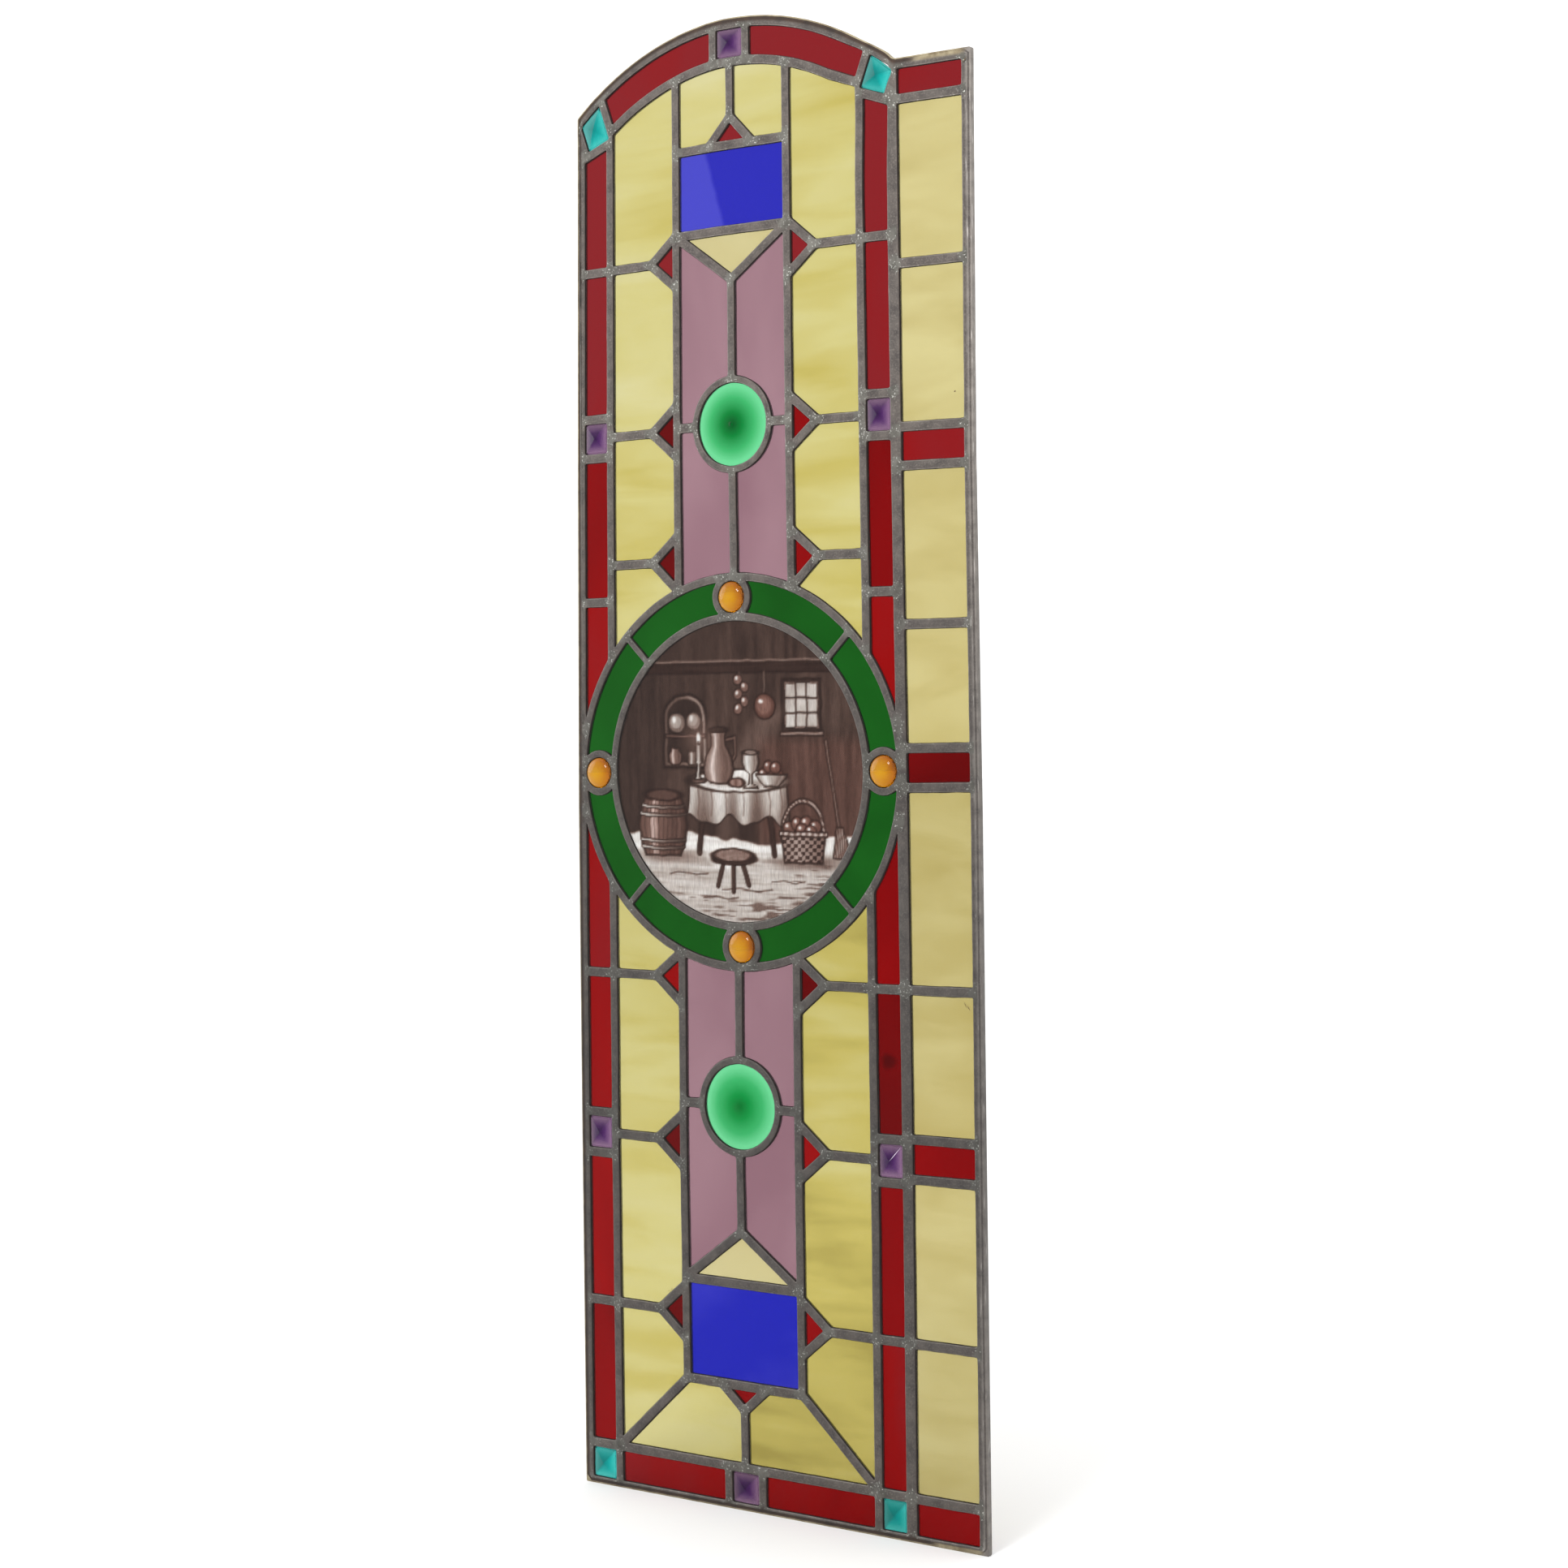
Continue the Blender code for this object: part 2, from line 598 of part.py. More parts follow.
def strip_cells():
    """The strip at the right, from the bottom edge to its square top."""
    half = STRIP_RED_BAY / 2
    reds = [
        (Z_SILL, BASE_BAND),
        (STRIP_LOW_RED - half, STRIP_LOW_RED + half),
        (STRIP_MIDDLE_RED - half, STRIP_MIDDLE_RED + half),
        (STRIP_HIGH_RED - half, STRIP_HIGH_RED + half),
        (STRIP_TOP_CROSS, Z_STRIP_TOP),
    ]
    yellows = [
        (BASE_BAND, FOOT_LEVEL),
        (FOOT_LEVEL, reds[1][0]),
        (reds[1][1], UNDER_LEVEL),
        (UNDER_LEVEL, reds[2][0]),
        (reds[2][1], STRIP_UPPER_CROSS),
        (STRIP_UPPER_CROSS, reds[3][0]),
        (reds[3][1], STRIP_HEAD_CROSS),
        (STRIP_HEAD_CROSS, STRIP_TOP_CROSS),
    ]
    cells = []
    for low, high in reds:
        bottom = "sill" if low == Z_SILL else "came"
        top = "rim" if high == Z_STRIP_TOP else "came"
        leads = (bottom, "rim", top, "divider")
        cells.append(upright_cell("red_strip", "red", "bonded", X_DIVIDER, X_STRIP_RIM,
                                  low, high, leads))
    for i, (low, high) in enumerate(yellows, start=1):
        leads = ("came", "rim", "came", "divider")
        cells.append(upright_cell(f"yellow_strip_pane_{i}", "yellow", "glass", X_DIVIDER,
                                  X_STRIP_RIM, low, high, leads))
    return cells


def on_medallion(radius, degrees):
    angle = math.radians(degrees)
    return AXIS + radius * math.cos(angle), MEDALLION_HEIGHT + radius * math.sin(angle)


def medallion_cells():
    """The green ring in eight pieces, parted by four cabochons and four spokes."""
    middle = (MEDALLION_OUTER + MEDALLION_INNER) / 2
    near = math.degrees(CABOCHON_RADIUS / middle)
    cells = []
    for quarter, turn in enumerate(CABOCHON_TURNS):
        spoke = 90 * quarter + 45
        gem = (*on_medallion(middle, turn), CABOCHON_RADIUS)
        after = [
            corner(*on_medallion(MEDALLION_INNER, turn + near / 2), "cabochon", gem, 3),
            corner(*on_medallion(MEDALLION_OUTER, turn + near / 2), "ring", OUTER_RING, 4),
            corner(*on_medallion(MEDALLION_OUTER, spoke), "spoke"),
            corner(*on_medallion(MEDALLION_INNER, spoke), "ring", INNER_RING, 4),
        ]
        before = [
            corner(*on_medallion(MEDALLION_INNER, spoke - 90), "spoke"),
            corner(*on_medallion(MEDALLION_OUTER, spoke - 90), "ring", OUTER_RING, 4),
            corner(*on_medallion(MEDALLION_OUTER, turn - near / 2), "cabochon", gem, 3),
            corner(*on_medallion(MEDALLION_INNER, turn - near / 2), "ring", INNER_RING, 4),
        ]
        cells.append(Cell(f"green_ring_pane_{2 * quarter + 1}", "green", "glass", after))
        cells.append(Cell(f"green_ring_pane_{(2 * quarter - 1) % 8 + 1}", "green", "glass", before))
        cells.append(Cell(f"amber_cabochon_{quarter + 1}", "amber", "dome",
                          full_circle(gem, "cabochon", CABOCHON_STEPS)))
    cells.append(Cell("painted_roundel", "painted", "glass",
                      full_circle(INNER_RING, "ring", MEDALLION_STEPS)))
    for name, level in (("low", LOW_RONDEL_HEIGHT), ("high", HIGH_RONDEL_HEIGHT)):
        disc = (AXIS, level, RONDEL_RADIUS)
        cells.append(Cell(f"green_rondel_{name}", "mint", "cone",
                          full_circle(disc, "rondel", RONDEL_STEPS)))
    return cells


def all_cells():
    sided = border_cells() + arch_cells() + column_cells() + mauve_cells() + end_cells()
    return sided + [mirrored(c) for c in sided] + centre_cells() + strip_cells() + medallion_cells()


def panel_outline():
    """The outer edge of the lead, with the arch as a run of short straights."""
    half = WIDTH / 2
    reach = math.sqrt(ARCH_EDGE ** 2 - (STRIP_TOP_HEIGHT - ARCH_CENTRE) ** 2)
    left = Vector((-half, SPRING_HEIGHT))
    valley = Vector((AXIS + reach, STRIP_TOP_HEIGHT))
    arch = arc_points(valley, left, Vector((AXIS, ARCH_CENTRE)), 16)
    square = [Vector((-half, 0)), Vector((half, 0)), Vector((half, STRIP_TOP_HEIGHT))]
    return square + [valley] + arch + [left]


# Meshes

def ring_of_vertices(bm, points, y):
    return [bm.verts.new((p.x, y, p.y)) for p in points]


def join_rings(bm, first, second):
    """A band of four-sided faces between two rings of the same count."""
    for i in range(len(first)):
        j = (i + 1) % len(first)
        bm.faces.new((first[i], first[j], second[j], second[i]))


def fan_to_point(bm, ring, y):
    middle = sum((v.co for v in ring), Vector()) / len(ring)
    tip = bm.verts.new((middle.x, y, middle.z))
    for i, vertex in enumerate(ring):
        bm.faces.new((vertex, ring[(i + 1) % len(ring)], tip))


def fill_between(bm, edge, holes):
    """A flat face of the lead: the panel's edge with every opening cut from it."""
    vertices = []
    loops = []
    for loop in [edge] + holes:
        loops.append(range(len(vertices), len(vertices) + len(loop)))
        vertices.extend(loop)
    flat = [Vector((v.co.x, v.co.z)) for v in vertices]
    found = delaunay_2d_cdt(flat, [], [list(loop) for loop in loops], 1, 1e-7)
    for face, inside in zip(found[2], found[5]):
        if inside == [0]:
            bm.faces.new([vertices[found[3][i][0]] for i in face])


def material(name):
    colour, roughness, metallic = COLOURS[name]
    made = bpy.data.materials.new(name)
    made.use_nodes = True
    shader = made.node_tree.nodes["Principled BSDF"]
    shader.inputs["Base Color"].default_value = colour
    shader.inputs["Roughness"].default_value = roughness
    shader.inputs["Metallic"].default_value = metallic
    return made


def place_object(name, bm, colour):
    """Turn the mesh into an object; its origin is the middle of its own box."""
    bmesh.ops.recalc_face_normals(bm, faces=bm.faces)
    low = [min(v.co[i] for v in bm.verts) for i in range(3)]
    high = [max(v.co[i] for v in bm.verts) for i in range(3)]
    middle = (Vector(low) + Vector(high)) / 2
    bmesh.ops.translate(bm, verts=bm.verts, vec=-middle)
    mesh = bpy.data.meshes.new(name)
    bm.to_mesh(mesh)
    bm.free()
    mesh.materials.append(material(colour))
    placed = bpy.data.objects.new(name, mesh)
    placed.location = middle
    bpy.context.scene.collection.objects.link(placed)
    return placed


def build_lead(cells):
    """The soldered cames, grooved for the glass, with the small panes bonded in."""
    bm = bmesh.new()
    face = CAME_DEPTH / 2
    groove = GLASS / 2 + CLEARANCE
    edge = panel_outline()
    edges = {}
    openings = {}
    for side in (-1, 1):
        edges[side] = ring_of_vertices(bm, edge, side * face)
        openings[side] = []
    join_rings(bm, edges[-1], edges[1])
    for cell in cells:
        shown = outline(cell.corners, show_inset)
        grooved = outline(cell.corners, groove_inset)
        inner = {}
        for side in (-1, 1):
            mouth = ring_of_vertices(bm, shown, side * face)
            openings[side].append(mouth)
            if cell.kind in ("bonded", "jewel"):
                floor = ring_of_vertices(bm, shown, side * GLASS / 2)
                join_rings(bm, mouth, floor)
                if cell.kind == "jewel" and side < 0:
                    fan_to_point(bm, floor, -GLASS / 2 - JEWEL_RISE)
                else:
                    bm.faces.new(floor)
                continue
            lip = ring_of_vertices(bm, shown, side * groove)
            inner[side] = ring_of_vertices(bm, grooved, side * groove)
            join_rings(bm, mouth, lip)
            join_rings(bm, lip, inner[side])
        if inner:
            join_rings(bm, inner[-1], inner[1])
    for side in (-1, 1):
        fill_between(bm, edges[side], openings[side])
    place_object("lead_came_network", bm, "lead")


def build_flat_glass(cell):
    bm = bmesh.new()
    points = outline(cell.corners, glass_inset)
    front = ring_of_vertices(bm, points, -GLASS / 2)
    back = ring_of_vertices(bm, points, GLASS / 2)
    join_rings(bm, front, back)
    bm.faces.new(front)
    bm.faces.new(back)
    place_object(cell.name, bm, cell.colour)


def build_raised_glass(cell, rise, profile):
    """A round glass with a flat rim in the groove and a front that swells out."""
    bm = bmesh.new()
    seat = outline(cell.corners, glass_inset)
    waist = outline(cell.corners, lambda lead: show_inset(lead) + CLEARANCE)
    cx, cz, _ = cell.corners[0].circle
    centre = Vector((cx, cz))
    front = ring_of_vertices(bm, seat, -GLASS / 2)
    back = ring_of_vertices(bm, seat, GLASS / 2)
    join_rings(bm, front, back)
    bm.faces.new(back)
    last = front
    for reach, share in profile:
        points = [centre + (p - centre) * reach for p in waist]
        ring = ring_of_vertices(bm, points, -GLASS / 2 - rise * share)
        join_rings(bm, last, ring)
        last = ring
    fan_to_point(bm, last, -GLASS / 2 - rise)
    place_object(cell.name, bm, cell.colour)


def clear_scene():
    for old in list(bpy.data.objects):
        bpy.data.objects.remove(old)


def build():
    clear_scene()
    cells = all_cells()
    build_lead(cells)
    dome = [(1.0, 0.0), (0.85, 0.53), (0.50, 0.87)]
    cone = [(1.0, 0.0), (0.90, 0.40)]
    for cell in cells:
        if cell.kind == "glass":
            build_flat_glass(cell)
        elif cell.kind == "dome":
            build_raised_glass(cell, CABOCHON_RISE, dome)
        elif cell.kind == "cone":
            build_raised_glass(cell, RONDEL_RISE, cone)


build()
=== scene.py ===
"""The looks of a leaded stained-glass window panel: rounded lead with soldered joints, coloured
glass, faceted jewels, domed cabochons, rondels and a painted roundel. Metres. X runs across,
Y from the front to the back, Z up. Outlines are read from the frame's lead, so all fits it."""

import math
import random

import bmesh
import bpy
import numpy as np
from mathutils import Matrix, Vector, noise
from mathutils.geometry import delaunay_2d_cdt
from mathutils.kdtree import KDTree


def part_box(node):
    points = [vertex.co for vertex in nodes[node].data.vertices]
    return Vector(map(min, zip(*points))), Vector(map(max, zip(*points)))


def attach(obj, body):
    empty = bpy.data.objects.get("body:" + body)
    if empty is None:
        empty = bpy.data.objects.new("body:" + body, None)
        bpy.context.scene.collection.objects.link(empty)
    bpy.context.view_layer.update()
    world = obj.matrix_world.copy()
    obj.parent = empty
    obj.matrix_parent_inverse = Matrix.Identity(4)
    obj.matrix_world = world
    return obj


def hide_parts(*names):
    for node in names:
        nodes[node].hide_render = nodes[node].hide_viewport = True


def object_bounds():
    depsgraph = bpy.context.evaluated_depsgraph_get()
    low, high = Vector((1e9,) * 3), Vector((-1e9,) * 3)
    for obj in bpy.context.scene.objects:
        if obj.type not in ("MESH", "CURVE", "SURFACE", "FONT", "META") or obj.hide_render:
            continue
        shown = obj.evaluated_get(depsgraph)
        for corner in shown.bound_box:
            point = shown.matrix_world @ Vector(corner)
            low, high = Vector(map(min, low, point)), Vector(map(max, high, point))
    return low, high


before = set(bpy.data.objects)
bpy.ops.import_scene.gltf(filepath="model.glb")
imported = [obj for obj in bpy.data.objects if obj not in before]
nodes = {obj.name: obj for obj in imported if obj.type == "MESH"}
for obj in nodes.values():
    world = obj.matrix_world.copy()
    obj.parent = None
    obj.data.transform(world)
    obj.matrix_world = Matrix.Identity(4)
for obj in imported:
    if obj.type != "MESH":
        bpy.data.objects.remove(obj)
cad_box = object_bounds()
MM = 0.001

# The lead in section: heights are from the panel's middle plane, reaches from an opening's edge
FLANGE_UNDER = 1.85 * MM
FLANGE_EDGE = 2.35 * MM
LIP = 0.12 * MM
# The next two values are painted shade: a little on every lip, more on a came's right flank
LIP_DARK = 0.12
FLANK_SHADE = 0.85
CROWN = 3.3 * MM
BACK_CROWN = 3.1 * MM
CROWN_REACH = 3.2 * MM
GROOVE_REACH = 2.2 * MM
GROOVE_HALF = 1.8 * MM
FACE_WAVE = 0.07 * MM
FRONT_ROWS = (0.35 * MM, 1.0 * MM, 1.9 * MM)
BACK_ROWS = (1.1 * MM,)
# From the front lip through the groove to the back edge: reach, height and how dark it is painted, as
# shade in the groove and at the back lip
GROOVE_ROWS = (
    (0.0, -FLANGE_EDGE + LIP, 1.0), (0.0, -FLANGE_UNDER, 1.0), (GROOVE_REACH, -GROOVE_HALF, 1.0),
    (GROOVE_REACH, GROOVE_HALF, 1.0), (0.0, FLANGE_UNDER, 1.0), (0.0, FLANGE_EDGE, LIP_DARK),
)

# The edge lead's outer margin: stained and soiled where it sat in putty, plain at the right with painted
# highlights
MARGIN_LEVEL = 2.75 * MM
MARGIN_EDGE_DROP = 0.35 * MM
MARGIN_GROOVE = 0.45 * MM
GOLDEN_FROM = 0.150
GOLDEN_FADE = 12 * MM
PLAIN_FROM = 0.204
PLAIN_FADE = 4 * MM
RIM_ROWS = (0.0, 1.1 * MM, 1.5 * MM, 3.1 * MM, 3.5 * MM)

# Putty: how far it shows, on the right of a came more as painted shade, how ragged it is and where it lies
PUTTY_SHOWN = 0.40 * MM
PUTTY_SHADE_AT_RIGHT = 0.25 * MM
PUTTY_RAGGED = 0.35 * MM
PUTTY_UNDER = 1.4 * MM
PUTTY_HEIGHTS = (-1.80 * MM, -1.56 * MM, -1.53 * MM)

# Joints and their solder
HALF_CAME = 4.0 * MM
JOINT_FARTHEST = 10.0 * MM
JOINT_NEAR = 7.0 * MM
SOLDER_REACH = 8.5 * MM
SOLDER_TOP = 3.75 * MM
SOLDER_FOOT = 2.7 * MM
SOLDER_MEETS = 0.9 * MM

# Points along the middle of each came: how far from the edges, how close together, and how far
# from an edge, by what steps, the middle is looked for
RIDGE_CLEAR = FRONT_ROWS[-1] + 0.7 * MM
RIDGE_CLEAR_IN_CAME = FRONT_ROWS[-1] + 0.2 * MM
RIDGE_PITCH = 1.7 * MM
JOINT_PITCH = 1.2 * MM
RIDGE_CELL = 2.0 * MM
RIDGE_FROM = 2.4 * MM
RIDGE_TO = 6.5 * MM
RIDGE_STEP = 0.3 * MM

# How the lead darkens with painted shade by its share of the height
DIMMED = ((0.0, 0.60), (0.25, 0.38), (0.5, 0.54), (0.75, 0.86), (1.0, 0.86))

# Glass. Rondels above the middle height are of the upper kind. Facets are toned with painted light
# and shade by the way they face; and each sort of pane has a tone at the foot, its rise to the top
# and its spread
GLASS_HALF = 1.5 * MM
SEAT_REACH = 1.6 * MM
ROUND_STEPS = 48
CABOCHON_RISE = 6.0 * MM
RONDEL_RISE = 3.0 * MM
RONDEL_TIP = 1.1 * MM
MIDDLE_HEIGHT = 0.65
# The side of a round glass that takes the most painted shade
SHADED_SIDE = math.radians(25)
JEWEL_RISE = 3.5 * MM
JEWEL_STEP = 0.7 * MM
FACET_UP = -0.15
FACET_ACROSS = 0.30
DULL_REDS_FROM = 1.0
DARK_STRIP_HEIGHT = 0.45
PANE_TONES = {"mauve": (0.10, 0.50, 0.15), "yellow_right": (0.08, 0.44, 0.14), "other": (0.47, 0.0, 0.20)}

# Small flaws: a soft dark spot behind a red pane; wisps, specks and a slit in the solder (place
# across and up, turn in degrees, then length, width and height over the middle plane in
# millimetres). Besides the flaws, a painted highlight along the ridge of one jewel
SPOT_PLACE = (0.1150, 0.3925)
SPOT_REACH = 9.5 * MM
MARKS = (
    (-0.1130, 0.1800, 70, 4.5, 0.45, 2.6),
    (-0.1150, 0.1770, 105, 3.5, 0.45, 2.6),
    (-0.1165, 0.1780, 30, 3.0, 0.40, 2.6),
    (0.1960, 0.4430, 115, 7.0, 0.70, 2.6),
    (0.1992, 0.4405, 125, 5.5, 1.10, 2.6),
    (0.1942, 0.9520, 20, 2.0, 1.60, 1.7),
    (0.2075, 1.2290, 50, 6.5, 0.90, 4.0),
)
HIGHLIT_JEWEL = (0.127, 0.312)

# Hand-made unevenness of the openings
FINE_STEP = 1.2 * MM
LONG_STEP = 4.0 * MM
CORNER_TURN = math.radians(33)
KEEP_TURN = math.radians(11)
STRAIGHT_RATIO = 1.7
WOBBLE = ((0.20 * MM, 30.0), (0.10 * MM, 110.0))

# How the leading has crept out of true: at each height, how far the left edge, the medallion's
# axis, the border column and the right edge have moved across and up, in millimetres
CREEP_PLACES = (-0.2125, -0.05, 0.11, 0.2125)
CREEP_HEIGHTS = (0.0, 0.3, 0.6, 0.9, 1.2, 1.3)
CREEP_ACROSS = (
    (1.0, -0.5, -1.5, 0.5, 3.5, 4.0),
    (4.0, 0.5, 2.0, 0.0, 1.0, 1.0),
    (4.5, 4.5, 3.0, 1.0, -0.5, 0.0),
    (0.0, 0.0, 0.5, -1.0, 1.0, 2.0),
)
CREEP_UP = (
    (0.0, 4.5, 6.0, 4.0, 0.5, -1.0),
    (0.0, 3.0, 4.5, 4.0, 1.5, 1.5),
    (0.0, 2.5, 2.5, 2.5, -0.5, -1.0),
    (0.0, 3.0, 3.5, 0.5, -2.5, -3.0),
)
# The corner jewel at the right has slipped up, fading out over these places and heights
SLIP_PLACES = (0.070, 0.100, 0.130, 0.1385)
SLIP_HEIGHTS = (1.14, 1.19, 1.21, 1.262)
SLIP_ACROSS = 1.5 * MM
SLIP_UP = 7.5 * MM


def smooth(low, high, x):
    t = min(max((x - low) / (high - low), 0.0), 1.0)
    return t * t * (3 - 2 * t)


# Reading the lead's openings from the frame

def flat_loops(mesh, level):
    """Edge loops of a mesh's flat face at one depth, in the order that its faces give."""
    found = {}
    points = []
    arrows = set()
    for face in mesh.polygons:
        corners = [mesh.vertices[i].co for i in face.vertices]
        if any(abs(c.y - level) > 0.01 * MM for c in corners):
            continue
        turn = []
        for c in corners:
            key = (round(c.x, 6), round(c.z, 6))
            if key not in found:
                found[key] = len(points)
                points.append(Vector(key))
            turn.append(found[key])
        arrows.update(zip(turn, turn[1:] + turn[:1]))
    onward = {a: b for a, b in arrows if (b, a) not in arrows}
    loops = []
    for start in sorted(onward):
        if start not in onward:
            continue
        loop = []
        at = start
        while at in onward:
            loop.append(points[at])
            at = onward.pop(at)
        loops.append(loop)
    return loops


def signed_area(loop):
    return sum(a.x * b.y - b.x * a.y for a, b in zip(loop, loop[1:] + loop[:1])) / 2


def centre_of(points):
    return sum(points, Vector((0, 0))) / len(points)


def box_of(loop):
    low = Vector((min(p.x for p in loop), min(p.y for p in loop)))
    high = Vector((max(p.x for p in loop), max(p.y for p in loop)))
    return low, high


def turn_at(loop, i):
    a = loop[i] - loop[i - 1]
    b = loop[(i + 1) % len(loop)] - loop[i]
    return math.atan2(a.x * b.y - a.y * b.x, a.dot(b))


def circle_through(a, b, c):
    """Centre of the circle through three points."""
    p = b - a
    q = c - a
    cross = 2 * (p.x * q.y - p.y * q.x)
    x = (q.y * p.length_squared - p.y * q.length_squared) / cross
    y = (p.x * q.length_squared - q.x * p.length_squared) / cross
    return a + Vector((x, y))


def arc(start, centre, sweep):
    """Points along an arc, without its end."""
    radius = (start - centre).length
    first = math.atan2(start.y - centre.y, start.x - centre.x)
    count = max(1, round(abs(sweep) * radius / FINE_STEP))
    angles = [first + sweep * i / count for i in range(count)]
    return [centre + radius * Vector((math.cos(a), math.sin(a))) for a in angles]


def straight_ends(loop, corners):
    """Both ends of each straight edge that runs on into an arc without a corner."""
    count = len(loop)
    ends = set()
    for i, first in enumerate(corners):
        steps = (corners[(i + 1) % len(corners)] - first) % count
        if steps < 2:
            continue
        spots = [(first + k) % count for k in range(steps + 1)]
        lengths = [(loop[b] - loop[a]).length for a, b in zip(spots, spots[1:])]
        short = min(lengths)
        for a, b, length in zip(spots, spots[1:], lengths):
            if length > STRAIGHT_RATIO * short:
                ends.update((a, b))
    return ends


def fine_outline(loop):
    """The loop with its true arcs, at short even steps."""
    count = len(loop)
    corners = [i for i in range(count) if abs(turn_at(loop, i)) > CORNER_TURN]
    if corners:
        corners = sorted(set(corners) | straight_ends(loop, corners))
    if not corners:
        centre = centre_of(loop)
        whole = math.copysign(2 * math.pi, signed_area(loop))
        return arc(loop[0], centre, whole)
    points = []
    for i, first in enumerate(corners):
        last = corners[(i + 1) % len(corners)]
        run = [loop[(first + k) % count] for k in range((last - first) % count + 1)]
        start, end = run[0], run[-1]
        if len(run) == 2:
            pieces = max(1, round((end - start).length / FINE_STEP))
            points.extend(start.lerp(end, k / pieces) for k in range(pieces))
            continue
        centre = circle_through(start, run[len(run) // 2], end)
        a, b = start - centre, end - centre
        sweep = math.atan2(a.x * b.y - a.y * b.x, a.dot(b))
        points.extend(arc(start, centre, sweep))
    return points


def outward(loop):
    """Normals that point out of a counter-clockwise loop."""
    made = []
    for i in range(len(loop)):
        along = (loop[(i + 1) % len(loop)] - loop[i - 1]).normalized()
        made.append(Vector((along.y, -along.x)))
    return made


def offset(loop, reach):
    return [p + n * reach for p, n in zip(loop, outward(loop))]


def inset(loop, reach):
    """The loop moved inwards, with the points that would cross at a corner drawn together."""
    if reach == 0:
        return list(loop)
    source = tree_of(fine_steps(loop))
    moved = offset(loop, -reach)
    count = len(moved)
    good = [source.find((p.x, p.y, 0))[2] > 0.96 * reach for p in moved]
    for i in range(count):
        if good[i]:
            continue
        before = next(k for k in range(1, count) if good[i - k])
        after = next(k for k in range(1, count) if good[(i + k) % count])
        moved[i] = (moved[i - before] + moved[(i + after) % count]) / 2
    return moved


def fine_steps(loop):
    """The loop with more points along its long steps."""
    points = []
    for a, b in zip(loop, loop[1:] + loop[:1]):
        pieces = max(1, round((b - a).length / (0.5 * MM)))
        points.extend(a.lerp(b, k / pieces) for k in range(pieces))
    return points


def tree_of(points):
    tree = KDTree(len(points))
    for i, p in enumerate(points):
        tree.insert((p.x, p.y, 0), i)
    tree.balance()
    return tree


def within(p, loop):
    """Whether a point lies inside a loop."""
    odd = False
    for a, b in zip(loop, loop[1:] + loop[:1]):
        if (a.y > p.y) != (b.y > p.y) and p.x < a.x + (b.x - a.x) * (p.y - a.y) / (b.y - a.y):
            odd = not odd
    return odd


def softened(loop, rounds):
    """Round the corners a little, as solder and a worked lead flange do."""
    for _ in range(rounds):
        loop = [
            (loop[i - 1] + loop[i] * 2 + loop[(i + 1) % len(loop)]) / 4
            for i in range(len(loop))
        ]
    return loop


def uneven(loop, seed):
    """Push the loop in and out by slow, slight noise."""
    moved = []
    for p, n in zip(loop, outward(loop)):
        push = sum(
            size * noise.noise(Vector((p.x * often, p.y * often, seed))) for size, often in WOBBLE
        )
        moved.append(p + n * push)
    return moved


def thinned(loop):
    """Drop points where the loop runs nearly straight."""
    kept = [loop[0]]
    gone = 0.0
    turned = 0.0
    for i in range(1, len(loop)):
        gone += (loop[i] - loop[i - 1]).length
        turned += turn_at(loop, i)
        if gone >= LONG_STEP or abs(turned) > KEEP_TURN:
            kept.append(loop[i])
            gone = 0.0
            turned = 0.0
    return kept


# The bent shape of the real panel

def creep(x, z, columns):
    """How far points have moved, between the values at the places and heights above."""
    values = [np.interp(z, CREEP_HEIGHTS, column) * MM for column in columns]
    moved = values[0]
    for k in range(len(CREEP_PLACES) - 1):
        first, last = CREEP_PLACES[k:k + 2]
        moved = moved + (values[k + 1] - values[k]) * np.clip((x - first) / (last - first), 0, 1)
    return moved


def bent(x, z):
    """Where points of the true design lie on the panel as it has crept."""
    x, z = np.asarray(x), np.asarray(z)
    slip = np.interp(x, SLIP_PLACES, (0, 1, 1, 0)) * np.interp(z, SLIP_HEIGHTS, (0, 1, 1, 0))
    across = creep(x, z, CREEP_ACROSS) + SLIP_ACROSS * slip
    up = creep(x, z, CREEP_UP) + SLIP_UP * slip
    return x + across, z + up


def make_piece(name, points, faces, materials, smooth_faces=True):
    """A mesh object from points of the true design, bent as the panel is, riding on the root."""
    mesh = bpy.data.meshes.new(name)
    placed = np.array(points, dtype=float)
    placed[:, 0], placed[:, 2] = bent(placed[:, 0], placed[:, 2])
    mesh.from_pydata(placed.tolist(), [], faces)
    for one in materials:
        mesh.materials.append(one)
    bm = bmesh.new()
    bm.from_mesh(mesh)
    bmesh.ops.recalc_face_normals(bm, faces=bm.faces)
    bm.to_mesh(mesh)
    bm.free()
    if smooth_faces:
        mesh.shade_smooth()
        mesh.set_sharp_from_angle(angle=math.radians(40))
    piece = bpy.data.objects.new(name, mesh)
    bpy.context.scene.collection.objects.link(piece)
    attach(piece, "root")
    return piece


def band(first, second):
    """Faces between two closed rows of points."""
    count = len(first)
    turn = [(i, (i + 1) % count) for i in range(count)]
    return [(first[i], first[j], second[j], second[i]) for i, j in turn]


def bands(start, rows, count):
    """Faces between closed rows of points that follow one another."""
    made = []
    for first in range(start, start + (rows - 1) * count, count):
        made += band(range(first, first + count), range(first + count, first + 2 * count))
    return made


def fan(start, count, tip):
    """Triangles between a closed row of points and a tip."""
    return [(start + k, start + (k + 1) % count, tip) for k in range(count)]


def paint(piece, layer, colours):
    """One colour for each vertex."""
    made = piece.data.color_attributes.new(layer, "FLOAT_COLOR", "POINT")
    flat = np.array(colours, dtype=np.float32).ravel()
    made.data.foreach_set("color", flat)


# The openings

LEAD_FACE = 3.0 * MM
JEWEL_PROUD = 1.0 * MM
AXIS = sum(c.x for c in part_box("painted_roundel")) / 2
TEAL_OFF_AXIS = 0.10
TEAL_BELOW = 0.05
TEAL_ABOVE = 1.18


